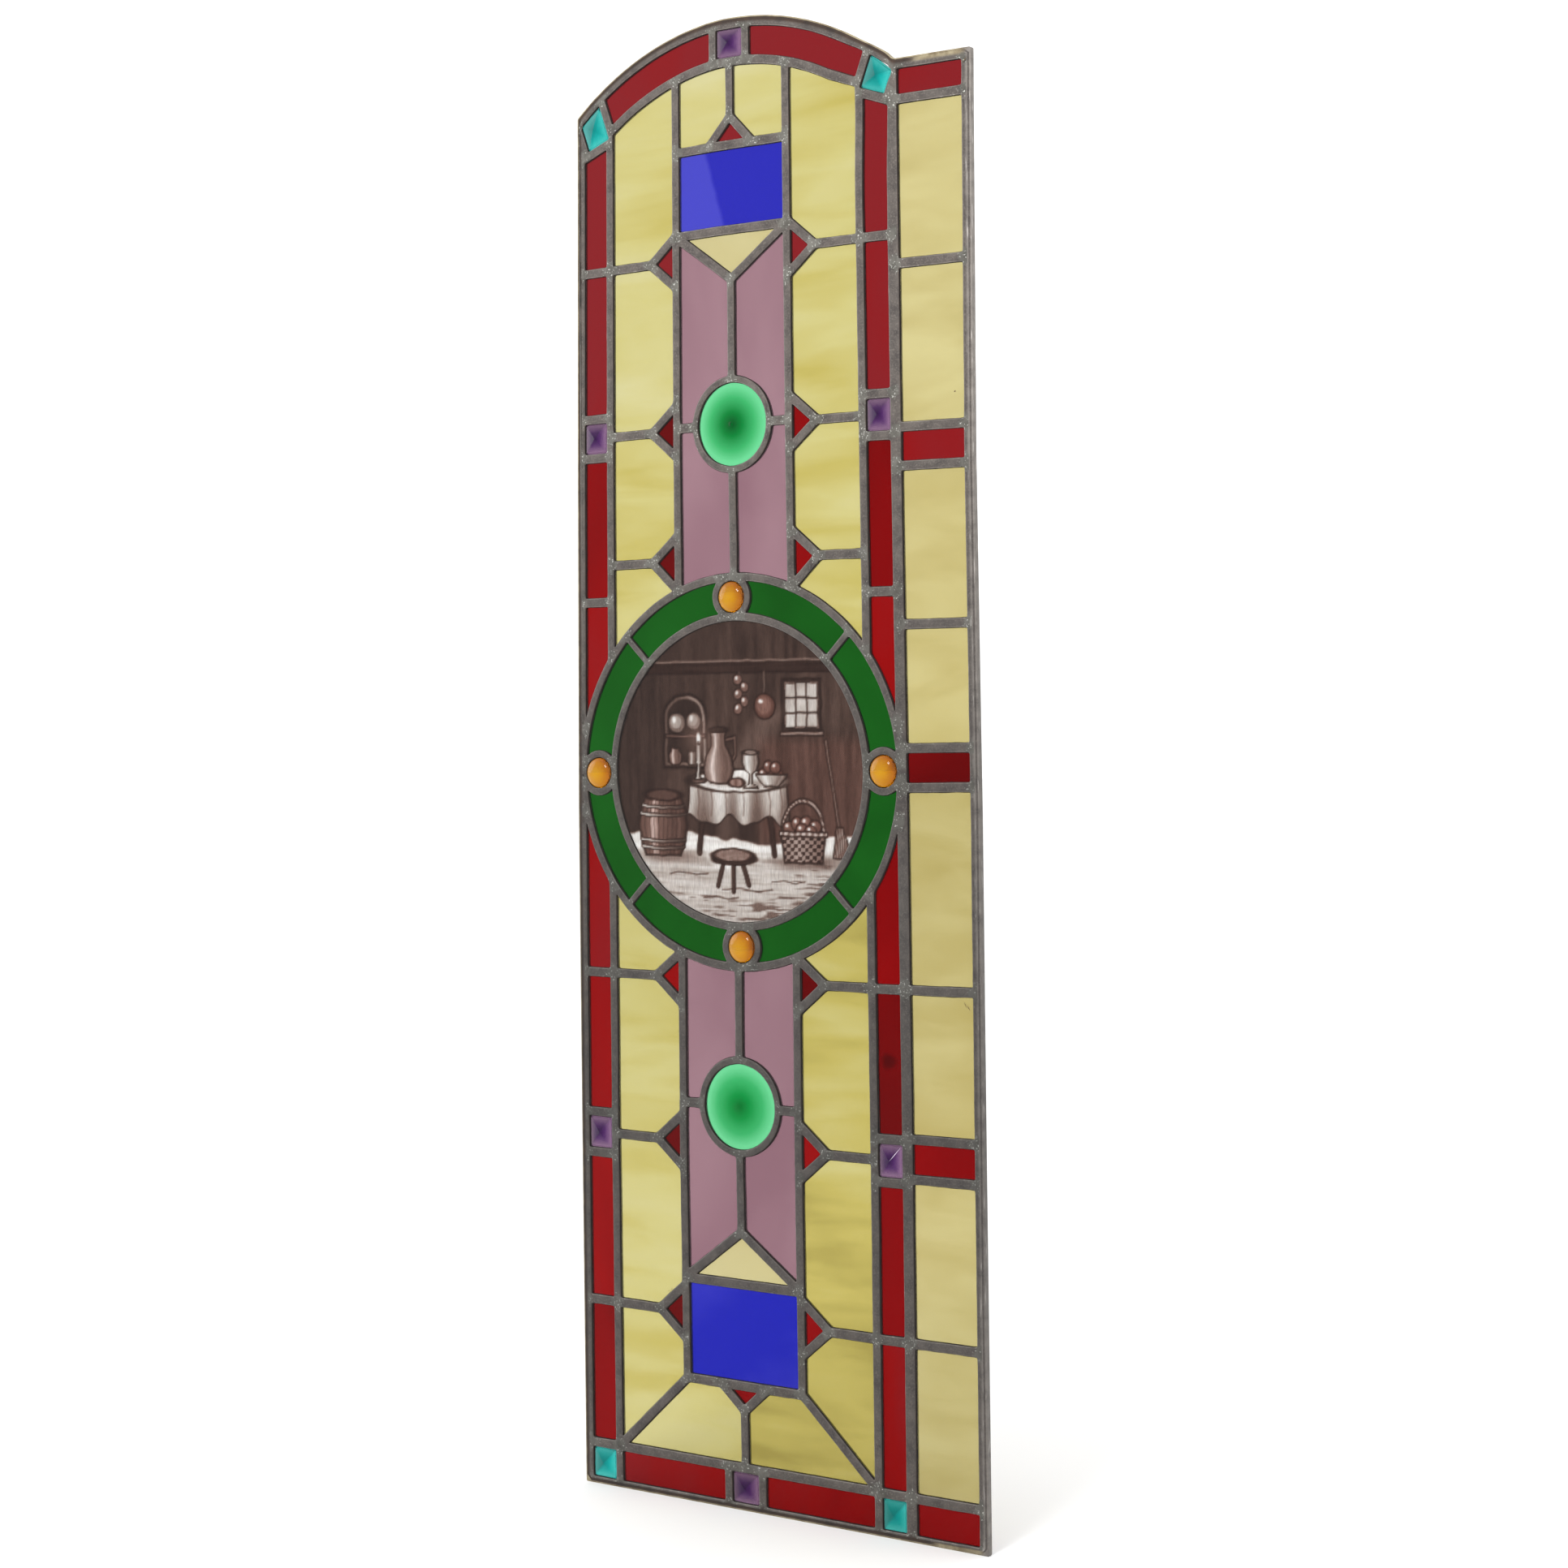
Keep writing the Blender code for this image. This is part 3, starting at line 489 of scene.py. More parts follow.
class Opening:
    """One hole in the lead: its loop in the frame, its worked edge and what fills it."""

    def __init__(self, loop):
        self.loop = loop
        self.middle = centre_of(loop)
        self.corners = [i for i in range(len(loop)) if abs(turn_at(loop, i)) > CORNER_TURN]
        self.node = None
        self.kind = "red"
        self.name = ""


def read_openings():
    lead = nodes["lead_came_network"].data
    loops = flat_loops(lead, -LEAD_FACE)
    edge = max(loops, key=signed_area)
    found = [Opening(loop[::-1]) for loop in loops if loop is not edge]
    found.sort(key=lambda one: (round(one.middle.y, 3), one.middle.x))
    tips = {
        (round(v.co.x, 5), round(v.co.z, 5))
        for v in lead.vertices
        if v.co.y < -LEAD_FACE - JEWEL_PROUD
    }
    for tip in tips:
        nearest = min(found, key=lambda one: (one.middle - Vector(tip)).length)
        nearest.kind = "purple"
        corner_of_light = nearest.middle.y < TEAL_BELOW or nearest.middle.y > TEAL_ABOVE
        if corner_of_light and abs(nearest.middle.x - AXIS) > TEAL_OFF_AXIS:
            nearest.kind = "teal"
    for name in nodes:
        if name == "lead_came_network":
            continue
        low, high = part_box(name)
        flat_low, flat_high = Vector((low.x, low.z)), Vector((high.x, high.z))

        def unlike(one):
            own_low, own_high = box_of(one.loop)
            return (own_low - flat_low).length + (own_high - flat_high).length

        match = min(found, key=unlike)
        match.node = name
        match.kind = "glass"
    counts = {}
    for one in found:
        if one.node:
            one.name = one.node + "_glass"
            continue
        shape = "jewel" if one.kind in ("purple", "teal") else "pane"
        if len(one.corners) == 3:
            shape = "triangle"
        label = f"{one.kind}_{shape}"
        counts[label] = counts.get(label, 0) + 1
        one.name = f"{label}_{counts[label]:02d}"
    return edge, found


panel_edge, openings = read_openings()
rng = random.Random(7)
for number, opening in enumerate(openings):
    rounds = rng.randint(1, 3)
    if len(opening.corners) == 0:
        rounds = 0
    whole = uneven(softened(fine_outline(opening.loop), rounds), 3.7 * number)
    opening.fine = whole
    opening.edge = thinned(whole)


# The lead

def find_joints():
    """Where cames meet: beyond each opening's corner, half a came away."""
    spots = []
    for one in openings:
        for i in one.corners:
            corner = one.loop[i]
            back = (one.loop[i - 1] - corner).normalized()
            on = (one.loop[(i + 1) % len(one.loop)] - corner).normalized()
            middle = (back + on).normalized()
            half_angle = math.acos(max(-1.0, min(1.0, back.dot(on)))) / 2
            spots.append(corner - middle * min(HALF_CAME / math.sin(half_angle), JOINT_FARTHEST))
    joints = []
    for spot in spots:
        for group in joints:
            if (spot - centre_of(group)).length < JOINT_NEAR:
                group.append(spot)
                break
        else:
            joints.append([spot])
    draw = random.Random(11)
    made = [(centre_of(group), SOLDER_REACH * draw.uniform(0.75, 1.15)) for group in joints]
    strip_top = max(p.y for p in panel_edge if p.x > cad_box[1].x - 1 * MM)
    corner = Vector((cad_box[1].x - HALF_CAME, strip_top - HALF_CAME))
    return made + [(corner, 1.2 * SOLDER_REACH)]


joints = find_joints()
joint_tree = tree_of([spot for spot, _ in joints])
rim_fine = softened(fine_outline(panel_edge), 2)
rim_loop = thinned(rim_fine)
rim_inner_fine = inset(rim_fine, RIM_ROWS[-1])
edge_points = []
edge_owner = []
edge_away = []
for number, opening in enumerate(openings):
    edge_points.extend(opening.fine)
    edge_owner.extend([number] * len(opening.fine))
    edge_away.extend(outward(opening.fine))
edge_points.extend(rim_inner_fine)
edge_owner.extend([-1] * len(rim_inner_fine))
edge_away.extend(-n for n in outward(rim_inner_fine))
edge_tree = tree_of(edge_points)


def reach_from_edge(p):
    return edge_tree.find((p.x, p.y, 0))[2]


def in_came(p):
    """Whether a point lies on the lead, by the side of the nearest edge that it is on."""
    i = edge_tree.find((p.x, p.y, 0))[1]
    return (p - edge_points[i]).dot(edge_away[i]) > 0


def solder_share(p):
    """How far into a soldered joint a point lies: 0 outside it and 1 at its middle."""
    most = 0.0
    for _, i, gap in joint_tree.find_range((p.x, p.y, 0), SOLDER_REACH * 1.3):
        spot, reach = joints[i]
        away = p - spot
        ripple = noise.noise(Vector((away.x, away.y, i * 0.1)) * 160)
        most = max(most, 1 - (gap / (reach * (1 + 0.35 * ripple))) ** 2)
    return max(most, 0.0)


def lead_height(p, reach, crown):
    """Height of the lead's face over the middle plane, and the share of solder there."""
    share = min(reach / CROWN_REACH, 1.0)
    height = FLANGE_EDGE + (crown - FLANGE_EDGE) * math.sqrt(1 - (1 - share) ** 2)
    solder = solder_share(p)
    puddle = SOLDER_FOOT + (SOLDER_TOP - SOLDER_FOOT) * solder
    if solder > 0 and puddle > height:
        height += (puddle - height) * smooth(0, SOLDER_MEETS, reach) * smooth(0, 0.25, solder)
    height += FACE_WAVE * noise.noise(Vector((p.x * 140, p.y * 140, 2.0))) * share
    return height, solder


def ridge_points():
    """Points along the middle of each came, and more of them in the joints."""
    taken = {}
    made = []

    def free(p, gap):
        cell = (round(p.x / RIDGE_CELL), round(p.y / RIDGE_CELL))
        for dx in (-1, 0, 1):
            for dy in (-1, 0, 1):
                for q in taken.get((cell[0] + dx, cell[1] + dy), ()):
                    if (p - q).length < gap:
                        return False
        taken.setdefault(cell, []).append(p)
        return True

    for spot, reach in joints:
        for ring in range(4):
            count = max(1, 5 * ring)
            for k in range(count):
                angle = 2 * math.pi * (k + 0.5 * (ring % 2)) / count
                p = spot + Vector((math.cos(angle), math.sin(angle))) * (reach * ring / 3.6)
                if reach_from_edge(p) > RIDGE_CLEAR and in_came(p) and free(p, JOINT_PITCH):
                    made.append(p)
    for number, one in enumerate(openings):
        for p, n in zip(one.edge, outward(one.edge)):
            reach = RIDGE_FROM
            while reach < RIDGE_TO:
                q = p + n * reach
                other = edge_tree.find((q.x, q.y, 0), filter=lambda i: edge_owner[i] != number)[2]
                if other <= reach:
                    wide = reach_from_edge(q) > RIDGE_CLEAR_IN_CAME
                    if wide and in_came(q) and free(q, RIDGE_PITCH):
                        made.append(q)
                    break
                reach += RIDGE_STEP
    return made


def flank_shade(away):
    """How much painted shade a came takes beside an opening: none on its left flank, most on its right
    flank, as its shadow.
    """
    return FLANK_SHADE * max(0.0, -away.x)


class LeadMesh:
    """Points, faces, and per point the lead's solder, stain, soil, painted shade and painted highlights,
    while it is being built.
    """

    def __init__(self):
        self.points = []
        self.faces = []
        self.solder_shade_and_stain = []
        self.highlights_soil_and_shade = []

    def add(self, p, y, solder=0.0, dark=0.0, stain=0.0, worn=0.0, soil=0.0):
        self.points.append((p.x, y, p.y))
        # Per point: solder, painted shade and stain; then painted edge highlights, and soil with painted
        # shade
        self.solder_shade_and_stain.append((solder, dark, stain, 1.0))
        self.highlights_soil_and_shade.append((worn, soil, 0.0, 1.0))
        return len(self.points) - 1

    def strips(self, rows):
        for first, second in zip(rows, rows[1:]):
            self.faces += band(first, second)

    def face_row(self, loop, reach, side, crown):
        row = []
        for p, n in zip(offset(loop, reach), outward(loop)):
            height, solder = lead_height(p, reach, crown)
            soil = worn = 0.0
            # Beside an opening: painted shade on a came's right flank, painted highlight along its other
            # edges
            if reach == FRONT_ROWS[0]:
                soil = flank_shade(n)
                worn = 1.0 - soil
            row.append(self.add(p, side * height, solder, worn=worn, soil=soil))
        return row

    # Rows of the groove, darkened by painted shade
    def plain_row(self, loop, reach, y, dark):
        return [self.add(p, y, 0.0, dark) for p in offset(loop, reach)]

    def lip_row(self, loop):
        """The front face's edge round an opening, darkened by painted shade: a little all round, most on a
        came's right flank.
        """
        return [
            self.add(p, -FLANGE_EDGE, 0.0, max(LIP_DARK, flank_shade(n)))
            for p, n in zip(offset(loop, 0.0), outward(loop))
        ]

    def fill(self, rim, holes, spots, side, crown):
        """The face between the rim's inner row and the openings' outer rows."""
        ids = []
        owner = []
        edges = []
        for number, loop in enumerate([rim] + holes):
            first = len(ids)
            count = len(loop)
            ids.extend(loop)
            owner.extend([number] * count)
            edges.extend((first + i, first + (i + 1) % count) for i in range(count))
        for p in spots:
            height, solder = lead_height(p, reach_from_edge(p), crown)
            ids.append(self.add(p, side * height, solder))
            owner.append(None)
        flat = [Vector((self.points[i][0], self.points[i][2])) for i in ids]
        loops = [[flat[i] for i in range(len(flat)) if owner[i] == n] for n in range(len(holes) + 1)]
        found = delaunay_2d_cdt(flat, edges, [], 0, 1e-7)
        back = []
        belongs = []
        for p, known in zip(found[0], found[3]):
            if known:
                back.append(ids[known[0]])
                belongs.append(owner[known[0]])
            else:
                height, solder = lead_height(p, reach_from_edge(p), crown)
                back.append(self.add(p, side * height, solder))
                belongs.append(None)
        for corners in found[2]:
            number = belongs[corners[0]]
            if number is not None and all(belongs[i] == number for i in corners):
                if within(centre_of([found[0][i] for i in corners]), loops[number]) != (number == 0):
                    continue
            self.faces.append([back[i] for i in corners])


def rim_rows(lead, side):
    """The edge lead's outer margin: a pale lip, a soiled shallow channel, then the rounded part."""
    rows = []
    for reach in RIM_ROWS:
        outer = reach <= RIM_ROWS[1]
        row = []
        for p in inset(rim_loop, reach):
            plain = smooth(PLAIN_FROM, PLAIN_FROM + PLAIN_FADE, p.x)
            golden = smooth(GOLDEN_FROM, GOLDEN_FROM + GOLDEN_FADE, p.x)
            level = MARGIN_LEVEL
            if reach == 0.0:
                level -= MARGIN_EDGE_DROP
            if not outer and reach < RIM_ROWS[-1]:
                level -= MARGIN_GROOVE * (1 - plain)
            stain = 1 - plain if outer else (1 - plain) * golden
            soil = 0.0 if outer else (1 - plain) * (1 - golden)
            # Where the margin is plain, at the right, its outer rows and inner row take painted highlights
            worn = plain if outer or reach == RIM_ROWS[-1] else 0.0
            row.append(lead.add(p, side * level, stain=stain, soil=soil, worn=worn))
        rows.append(row)
    lead.strips(rows)
    return rows[0], rows[-1]


def build_lead(material):
    lead = LeadMesh()
    spots = ridge_points()
    front_edge, front_rim = rim_rows(lead, -1)
    back_edge, back_rim = rim_rows(lead, 1)
    lead.strips([front_edge, back_edge])
    front_holes = []
    back_holes = []
    for one in openings:
        rows = [lead.face_row(one.edge, reach, -1, CROWN) for reach in reversed(FRONT_ROWS)]
        rows.append(lead.lip_row(one.edge))
        rows += [lead.plain_row(one.edge, *row) for row in GROOVE_ROWS]
        rows += [lead.face_row(one.edge, reach, 1, BACK_CROWN) for reach in BACK_ROWS]
        lead.strips(rows)
        front_holes.append(rows[0])
        back_holes.append(rows[-1])
    lead.fill(front_rim, front_holes, spots, -1, CROWN)
    lead.fill(back_rim, back_holes, spots, 1, BACK_CROWN)
    piece = make_piece("soldered_lead_cames", lead.points, lead.faces, [material])
    paint(piece, "solder_shade_and_stain", lead.solder_shade_and_stain)
    paint(piece, "highlights_soil_and_shade", lead.highlights_soil_and_shade)
    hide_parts("lead_came_network")


def build_putty(material):
    """Dark glazing putty under each flange, squeezed out as a thin line along the glass, wider beside a
    came's right flank as painted shade.
    """
    points = []
    faces = []
    for number, one in enumerate(openings):
        shown = []
        for p, n in zip(one.edge, outward(one.edge)):
            ragged = PUTTY_RAGGED * noise.noise(Vector((p.x * 90, p.y * 90, number)))
            shown.append(p - n * (PUTTY_SHOWN + PUTTY_SHADE_AT_RIGHT * max(0.0, -n.x) + ragged))
        under = offset(one.edge, PUTTY_UNDER)
        rows = []
        for loop, y in zip((under, shown, under), PUTTY_HEIGHTS):
            rows.append(range(len(points), len(points) + len(loop)))
            points.extend((p.x, y, p.y) for p in loop)
        for first, second in zip(rows, rows[1:] + rows[:1]):
            faces += band(first, second)
    make_piece("glazing_putty_and_shade_line", points, faces, [material])


# Glass

def slab(name, loop, materials):
    """A flat pane, closed, whose edge sits in the lead's groove."""
    count = len(loop)
    points = [(p.x, -GLASS_HALF, p.y) for p in loop] + [(p.x, GLASS_HALF, p.y) for p in loop]
    faces = [tuple(range(count)), tuple(reversed(range(count, 2 * count)))]
    faces += bands(0, 2, count)
    return make_piece(name, points, faces, materials, smooth_faces=False)


def turned_glass(name, opening, profile, materials):
    """A round glass: rows of (share of the waist, height over the glass's face), then a tip."""
    centre = opening.middle
    waist = (opening.loop[0] - centre).length
    rows = [(waist + SEAT_REACH, GLASS_HALF), (waist + SEAT_REACH, -GLASS_HALF)]
    rows += [(waist * share, -GLASS_HALF - rise) for share, rise in profile]
    points = []
    depths = []
    for radius, y in rows:
        for k in range(ROUND_STEPS):
            angle = 2 * math.pi * k / ROUND_STEPS
            points.append((centre.x + radius * math.cos(angle), y, centre.y + radius * math.sin(angle)))
            share = radius / (waist + SEAT_REACH)
            # The second channel is painted shade, most at the rim a little above the right
            depths.append((share, 0.5 + 0.5 * share * math.cos(angle - SHADED_SIDE), 0.0, 1.0))
    tip = len(points)
    points.append((centre.x, -GLASS_HALF - profile[-1][1], centre.y))
    points.append((centre.x, GLASS_HALF, centre.y))
    depths += [(0.0, 0.5, 0.0, 1.0)] * 2
    faces = fan(0, ROUND_STEPS, tip + 1) + bands(0, len(rows), ROUND_STEPS)
    faces += fan(tip - ROUND_STEPS, ROUND_STEPS, tip)
    piece = make_piece(name, points, faces, materials)
    paint(piece, "depth", depths)
    return piece


def dome_profile(rise):
    rows = 12
    angles = [math.pi / 2 * k / rows for k in range(rows)]
    return [(math.cos(a) * 0.97, rise * math.sin(a)) for a in angles] + [(0.04, rise)]


def cone_profile(rise, tip):
    """A shallow cone that flattens to its middle, with a small broken-off tip there."""
    rows = 14
    shares = [1 - k / rows for k in range(rows)]
    profile = [(s * 0.985, rise * (1 - s) ** 0.8 * (1 - 0.25 * (1 - s))) for s in shares]
    top = rise * 0.76
    return profile + [(0.055, top), (0.04, top + 0.7 * tip), (0.02, top + tip)]


def jewel(name, opening, material):
    """A square pressed glass with four sloping facets that meet in a blunt tip."""
    corners = [opening.loop[i] for i in opening.corners]
    centre = centre_of(corners)
    seat = [c + (c - centre).normalized() * SEAT_REACH for c in corners]
    rows = [
        (seat, GLASS_HALF),
        (seat, -GLASS_HALF),
        ([c.lerp(centre, 0.06) for c in corners], -GLASS_HALF),
        ([c.lerp(centre, 0.12) for c in corners], -GLASS_HALF - JEWEL_STEP),
    ]
    count = len(corners)
    points = [(p.x, y, p.y) for row, y in rows for p in row]
    tip = len(points)
    points += [(centre.x, -GLASS_HALF - JEWEL_RISE, centre.y), (centre.x, GLASS_HALF, centre.y)]
    faces = fan(0, count, tip + 1) + fan(tip - count, count, tip) + bands(0, len(rows), count)
    piece = make_piece(name, points, faces, [material], smooth_faces=False)
    made = piece.data.color_attributes.new("facet", "FLOAT_COLOR", "CORNER")
    middle_x, middle_z = bent(centre.x, centre.y)
    for face in piece.data.polygons:
        way = Vector((face.center.x - middle_x, face.center.z - middle_z))
        way = way.normalized() if way.length > 0 else way
        # Painted light and shade: a facet's tone by the way it faces
        tone = 0.5 + FACET_UP * way.y + FACET_ACROSS * way.x
        for i in face.loop_indices:
            depth = 0.0 if piece.data.loops[i].vertex_index >= tip else 1.0
            made.data[i].color = (depth, tone, 0.0, 1.0)
    return piece


# The painted roundel: a still life of kitchen goods in brown enamel. Its sizes and places are
# from the middle of the glass, across and up, in parts of 84 to its radius.

ART_RADIUS = 84
PAINT_STEP = 1.08 * MM
TONES = (
    (0.00, (44, 32, 29)), (0.22, (80, 63, 56)), (0.45, (128, 106, 97)), (0.70, (200, 190, 182)),
    (1.00, (255, 253, 250)),
)
WARM = (118, 62, 50)
OUTLINE_TONE = 0.03


def patches(across, up, wide, high, seed):
    """Smooth random values from -1 to 1, over cells of a given width and height."""
    draw = np.random.default_rng(seed)
    table = draw.uniform(-1, 1, (97, 97))
    x = across / wide + 48.5
    y = up / high + 48.5
    i, j = np.floor(x).astype(int) % 96, np.floor(y).astype(int) % 96
    s, t = x - np.floor(x), y - np.floor(y)
    s, t = s * s * (3 - 2 * s), t * t * (3 - 2 * t)
    below = table[i, j] * (1 - s) + table[i + 1, j] * s
    above = table[i, j + 1] * (1 - s) + table[i + 1, j + 1] * s
    return below * (1 - t) + above * t


class Painting:
    """Layers of tone, from 0 dark to 1 light, and of warmth over the points of the glass."""

    def __init__(self, across, up):
        self.u = across + 0.35 * patches(across, up, 5, 5, 1)
        self.v = up + 0.35 * patches(across, up, 5, 5, 2)
        self.tone = np.zeros_like(across)
        self.warm = np.zeros_like(across)

    def lay(self, field, tone, warm=0.0, soft=0.9, line=0.0, most=1.0):
        """Paint where a field is below zero, with a dark outline of a given width."""
        share = np.clip(0.5 - field / soft, 0, 1) * most
        self.tone += (tone - self.tone) * share
        self.warm += (warm - self.warm) * share
        if line:
            edge = np.clip(1.2 - np.abs(field) / line, 0, 1) * 0.85
            self.tone += (OUTLINE_TONE - self.tone) * edge

    def ellipse(self, x, y, wide, high):
        gap = np.hypot((self.u - x) / wide, (self.v - y) / high) - 1
        return gap * min(wide, high)

    def block(self, left, right, foot, top, lean=0.0):
        """A rectangle, whose sides lean outwards towards its foot."""
        spread = lean * (top - self.v)
        sides = np.maximum(left - spread - self.u, self.u - right - spread)
        return np.maximum(sides, np.maximum(foot - self.v, self.v - top))

    def stroke(self, points, width):
        """A brush line through points, thinner towards its ends."""
        nearest = np.full_like(self.u, 1e9)
        for (ax, ay), (bx, by) in zip(points, points[1:]):
            dx, dy = bx - ax, by - ay
            along = np.clip(((self.u - ax) * dx + (self.v - ay) * dy) / (dx * dx + dy * dy), 0, 1)
            gap = np.hypot(self.u - ax - along * dx, self.v - ay - along * dy)
            nearest = np.minimum(nearest, gap)
        return nearest - width / 2

    def vessel(self, x, foot, profile, dark, light, warm=0.0):
        """A turned thing seen from the side, lit from the left, by half widths at its heights."""
        heights = [h for h, _ in profile]
        halves = [w for _, w in profile]
        rise = self.v - foot
        half = np.interp(rise, heights, halves)
        side = np.clip((self.u - x) / half, -1, 1)
        field = np.maximum(np.abs(self.u - x) - half, np.maximum(-rise, rise - heights[-1]))
        round_share = np.sqrt(1 - side * side) * 0.55 + 0.45 * np.clip(0.5 - side, 0, 1)
        tone = dark + (light - dark) * round_share
        shine = np.exp(-((side + 0.42) / 0.14) ** 2)
        tone = tone + (1.0 - tone) * 0.75 * shine
        glow = np.exp(-((side - 0.72) / 0.12) ** 2)
        self.lay(field, tone + 0.12 * glow, warm, line=0.8)

    def fruit(self, x, y, wide, high, tone, warm, shine):
        """A round fruit, lighter at its upper left, with a highlight: how far off, size and tone."""
        glow = 0.3 * np.exp(-np.hypot(self.u - x + 1, self.v - y - 1) / 2)
        self.lay(self.ellipse(x, y, wide, high), tone + glow, warm, line=0.6)
        across, up, size, light = shine
        self.lay(self.ellipse(x - across, y + up, size, size), light)

    def colours(self):
        self.warm *= 0.6
        places = [place for place, _ in TONES]
        made = []
        for channel in range(3):
            cool = np.interp(self.tone, places, [value[channel] for _, value in TONES])
            warm_tone = WARM[channel] * (0.45 + 1.25 * self.tone)
            mixed = np.clip(cool + (warm_tone - cool) * self.warm, 0, 255) / 255
            made.append(((mixed + 0.055) / 1.055) ** 2.4 / STUDIO_LIGHT)
        return np.stack(made + [np.ones_like(self.tone)], axis=1)


def paint_room(art):
    """The wall with its ceiling, niche and window, and the light that falls across it."""
    u, v = art.u, art.v
    wall = 0.20 + 0.07 * patches(u, v, 3.0, 26, 3) + 0.06 * patches(u, v, 14, 20, 4)
    art.lay(np.full_like(u, -9.0), wall, 0.15)
    art.lay(art.block(14, 90, -40, 18), 0.30 + 0.08 * patches(u, v, 2.4, 30, 5), 0.55, soft=8)
    art.lay(art.block(-90, -52, -40, 90), 0.14 + 0.05 * patches(u, v, 2.0, 30, 6), 0.1, soft=9)
    art.lay(art.block(-90, 90, 55, 61), 0.10 + 0.05 * patches(u, v, 20, 1.2, 7), 0.3, line=0.8)
    art.lay(art.block(-90, 90, 61, 62.2), 0.48, 0.1)
    arch = np.minimum(art.block(-51, -21, 2, 30), art.ellipse(-36, 30, 15, 13))
    art.lay(arch, 0.09 + 0.03 * patches(u, v, 3, 12, 8), 0.1, line=1.4)
    art.lay(np.abs(arch + 1.6) - 0.8, 0.34 + 0.20 * np.clip((u + 40) / 8, 0, 1), 0.1)
    for x, y, size in ((-42, 27, 6.0), (-30, 28, 5.4)):
        art.lay(art.ellipse(x, y, size, size), 0.46, line=0.8)
        art.lay(art.ellipse(x - 0.5, y + 0.5, size * 0.62, size * 0.62), 0.62)
        art.lay(art.ellipse(x - 1.6, y + 1.8, size * 0.2, size * 0.3), 0.95)
    art.lay(art.block(-50, -22, 18.6, 20.4), 0.42, 0.3, line=0.7)
    small_pot = [(0, 2.6), (1.5, 4.2), (5, 4.8), (8, 2.8), (9.5, 3.4)]
    art.vessel(-43, 3.4, small_pot, 0.12, 0.55, 0.3)
    art.vessel(-30, 3.4, [(0, 3.4), (2, 4.4), (6, 4.4), (7.5, 3.6)], 0.10, 0.5)
    art.lay(art.block(31, 57, 22, 51), 0.12, 0.2, line=1.0)
    art.lay(art.block(33, 55, 24, 49), 0.74 + 0.12 * patches(u, v, 6, 9, 9))
    outside = 9 * (art.block(33, 55, 24, 49) > 0)
    for across, places in ((u, (33, 40.3, 47.6, 55)), (v, (24, 32.3, 40.6, 49))):
        for bar in places:
            art.lay(np.abs(across - bar) - 0.5 + outside, 0.10)
    art.lay(art.block(29.5, 58.5, 19.8, 22), 0.56, 0.2, line=0.7)
    ray = np.maximum(np.abs(u - 4 - 0.75 * (v - 8)) - 9, np.maximum(v - 34, -8 - v))
    art.lay(ray, 0.52, 0.1, soft=9, most=0.45)


def paint_floor(art):
    """A bright boarded floor, hatched darker to its front."""
    u, v = art.u, art.v
    edge = -37 - 3.0 * np.sin(u / 23 + 0.8) - 1.2 * patches(u, v, 6, 60, 10)
    boards = 0.94 + 0.08 * patches(u, v, 22, 1.6, 11)
    art.lay(v - edge, boards, 0.0, soft=1.6)
    shade = 0.66 + 0.14 * patches(u, v, 16, 1.1, 12)
    art.lay(v + 50 + 7 * patches(u, v, 18, 90, 13), shade, 0.0, soft=5, most=0.75)
    rim = np.clip((v + 76) / 22, 0, 2) + np.clip((30 - u) / 60, -0.4, 0.5)
    hatch = patches(u, v, 9, 0.9, 14) - 0.05 + rim
    art.lay(hatch * 4, 0.30, 0.05, soft=2.0, most=0.72)
    for x, y, reach in ((-34, -58, 13), (6, -66, 17), (34, -61, 11), (-12, -71, 12)):
        ripple = ((-1, 0), (-0.3, 0.9), (0.4, -0.5), (1, 0.7))
        art.lay(art.stroke([(x + reach * a, y + b) for a, b in ripple], 0.6), 0.20, 0.1)


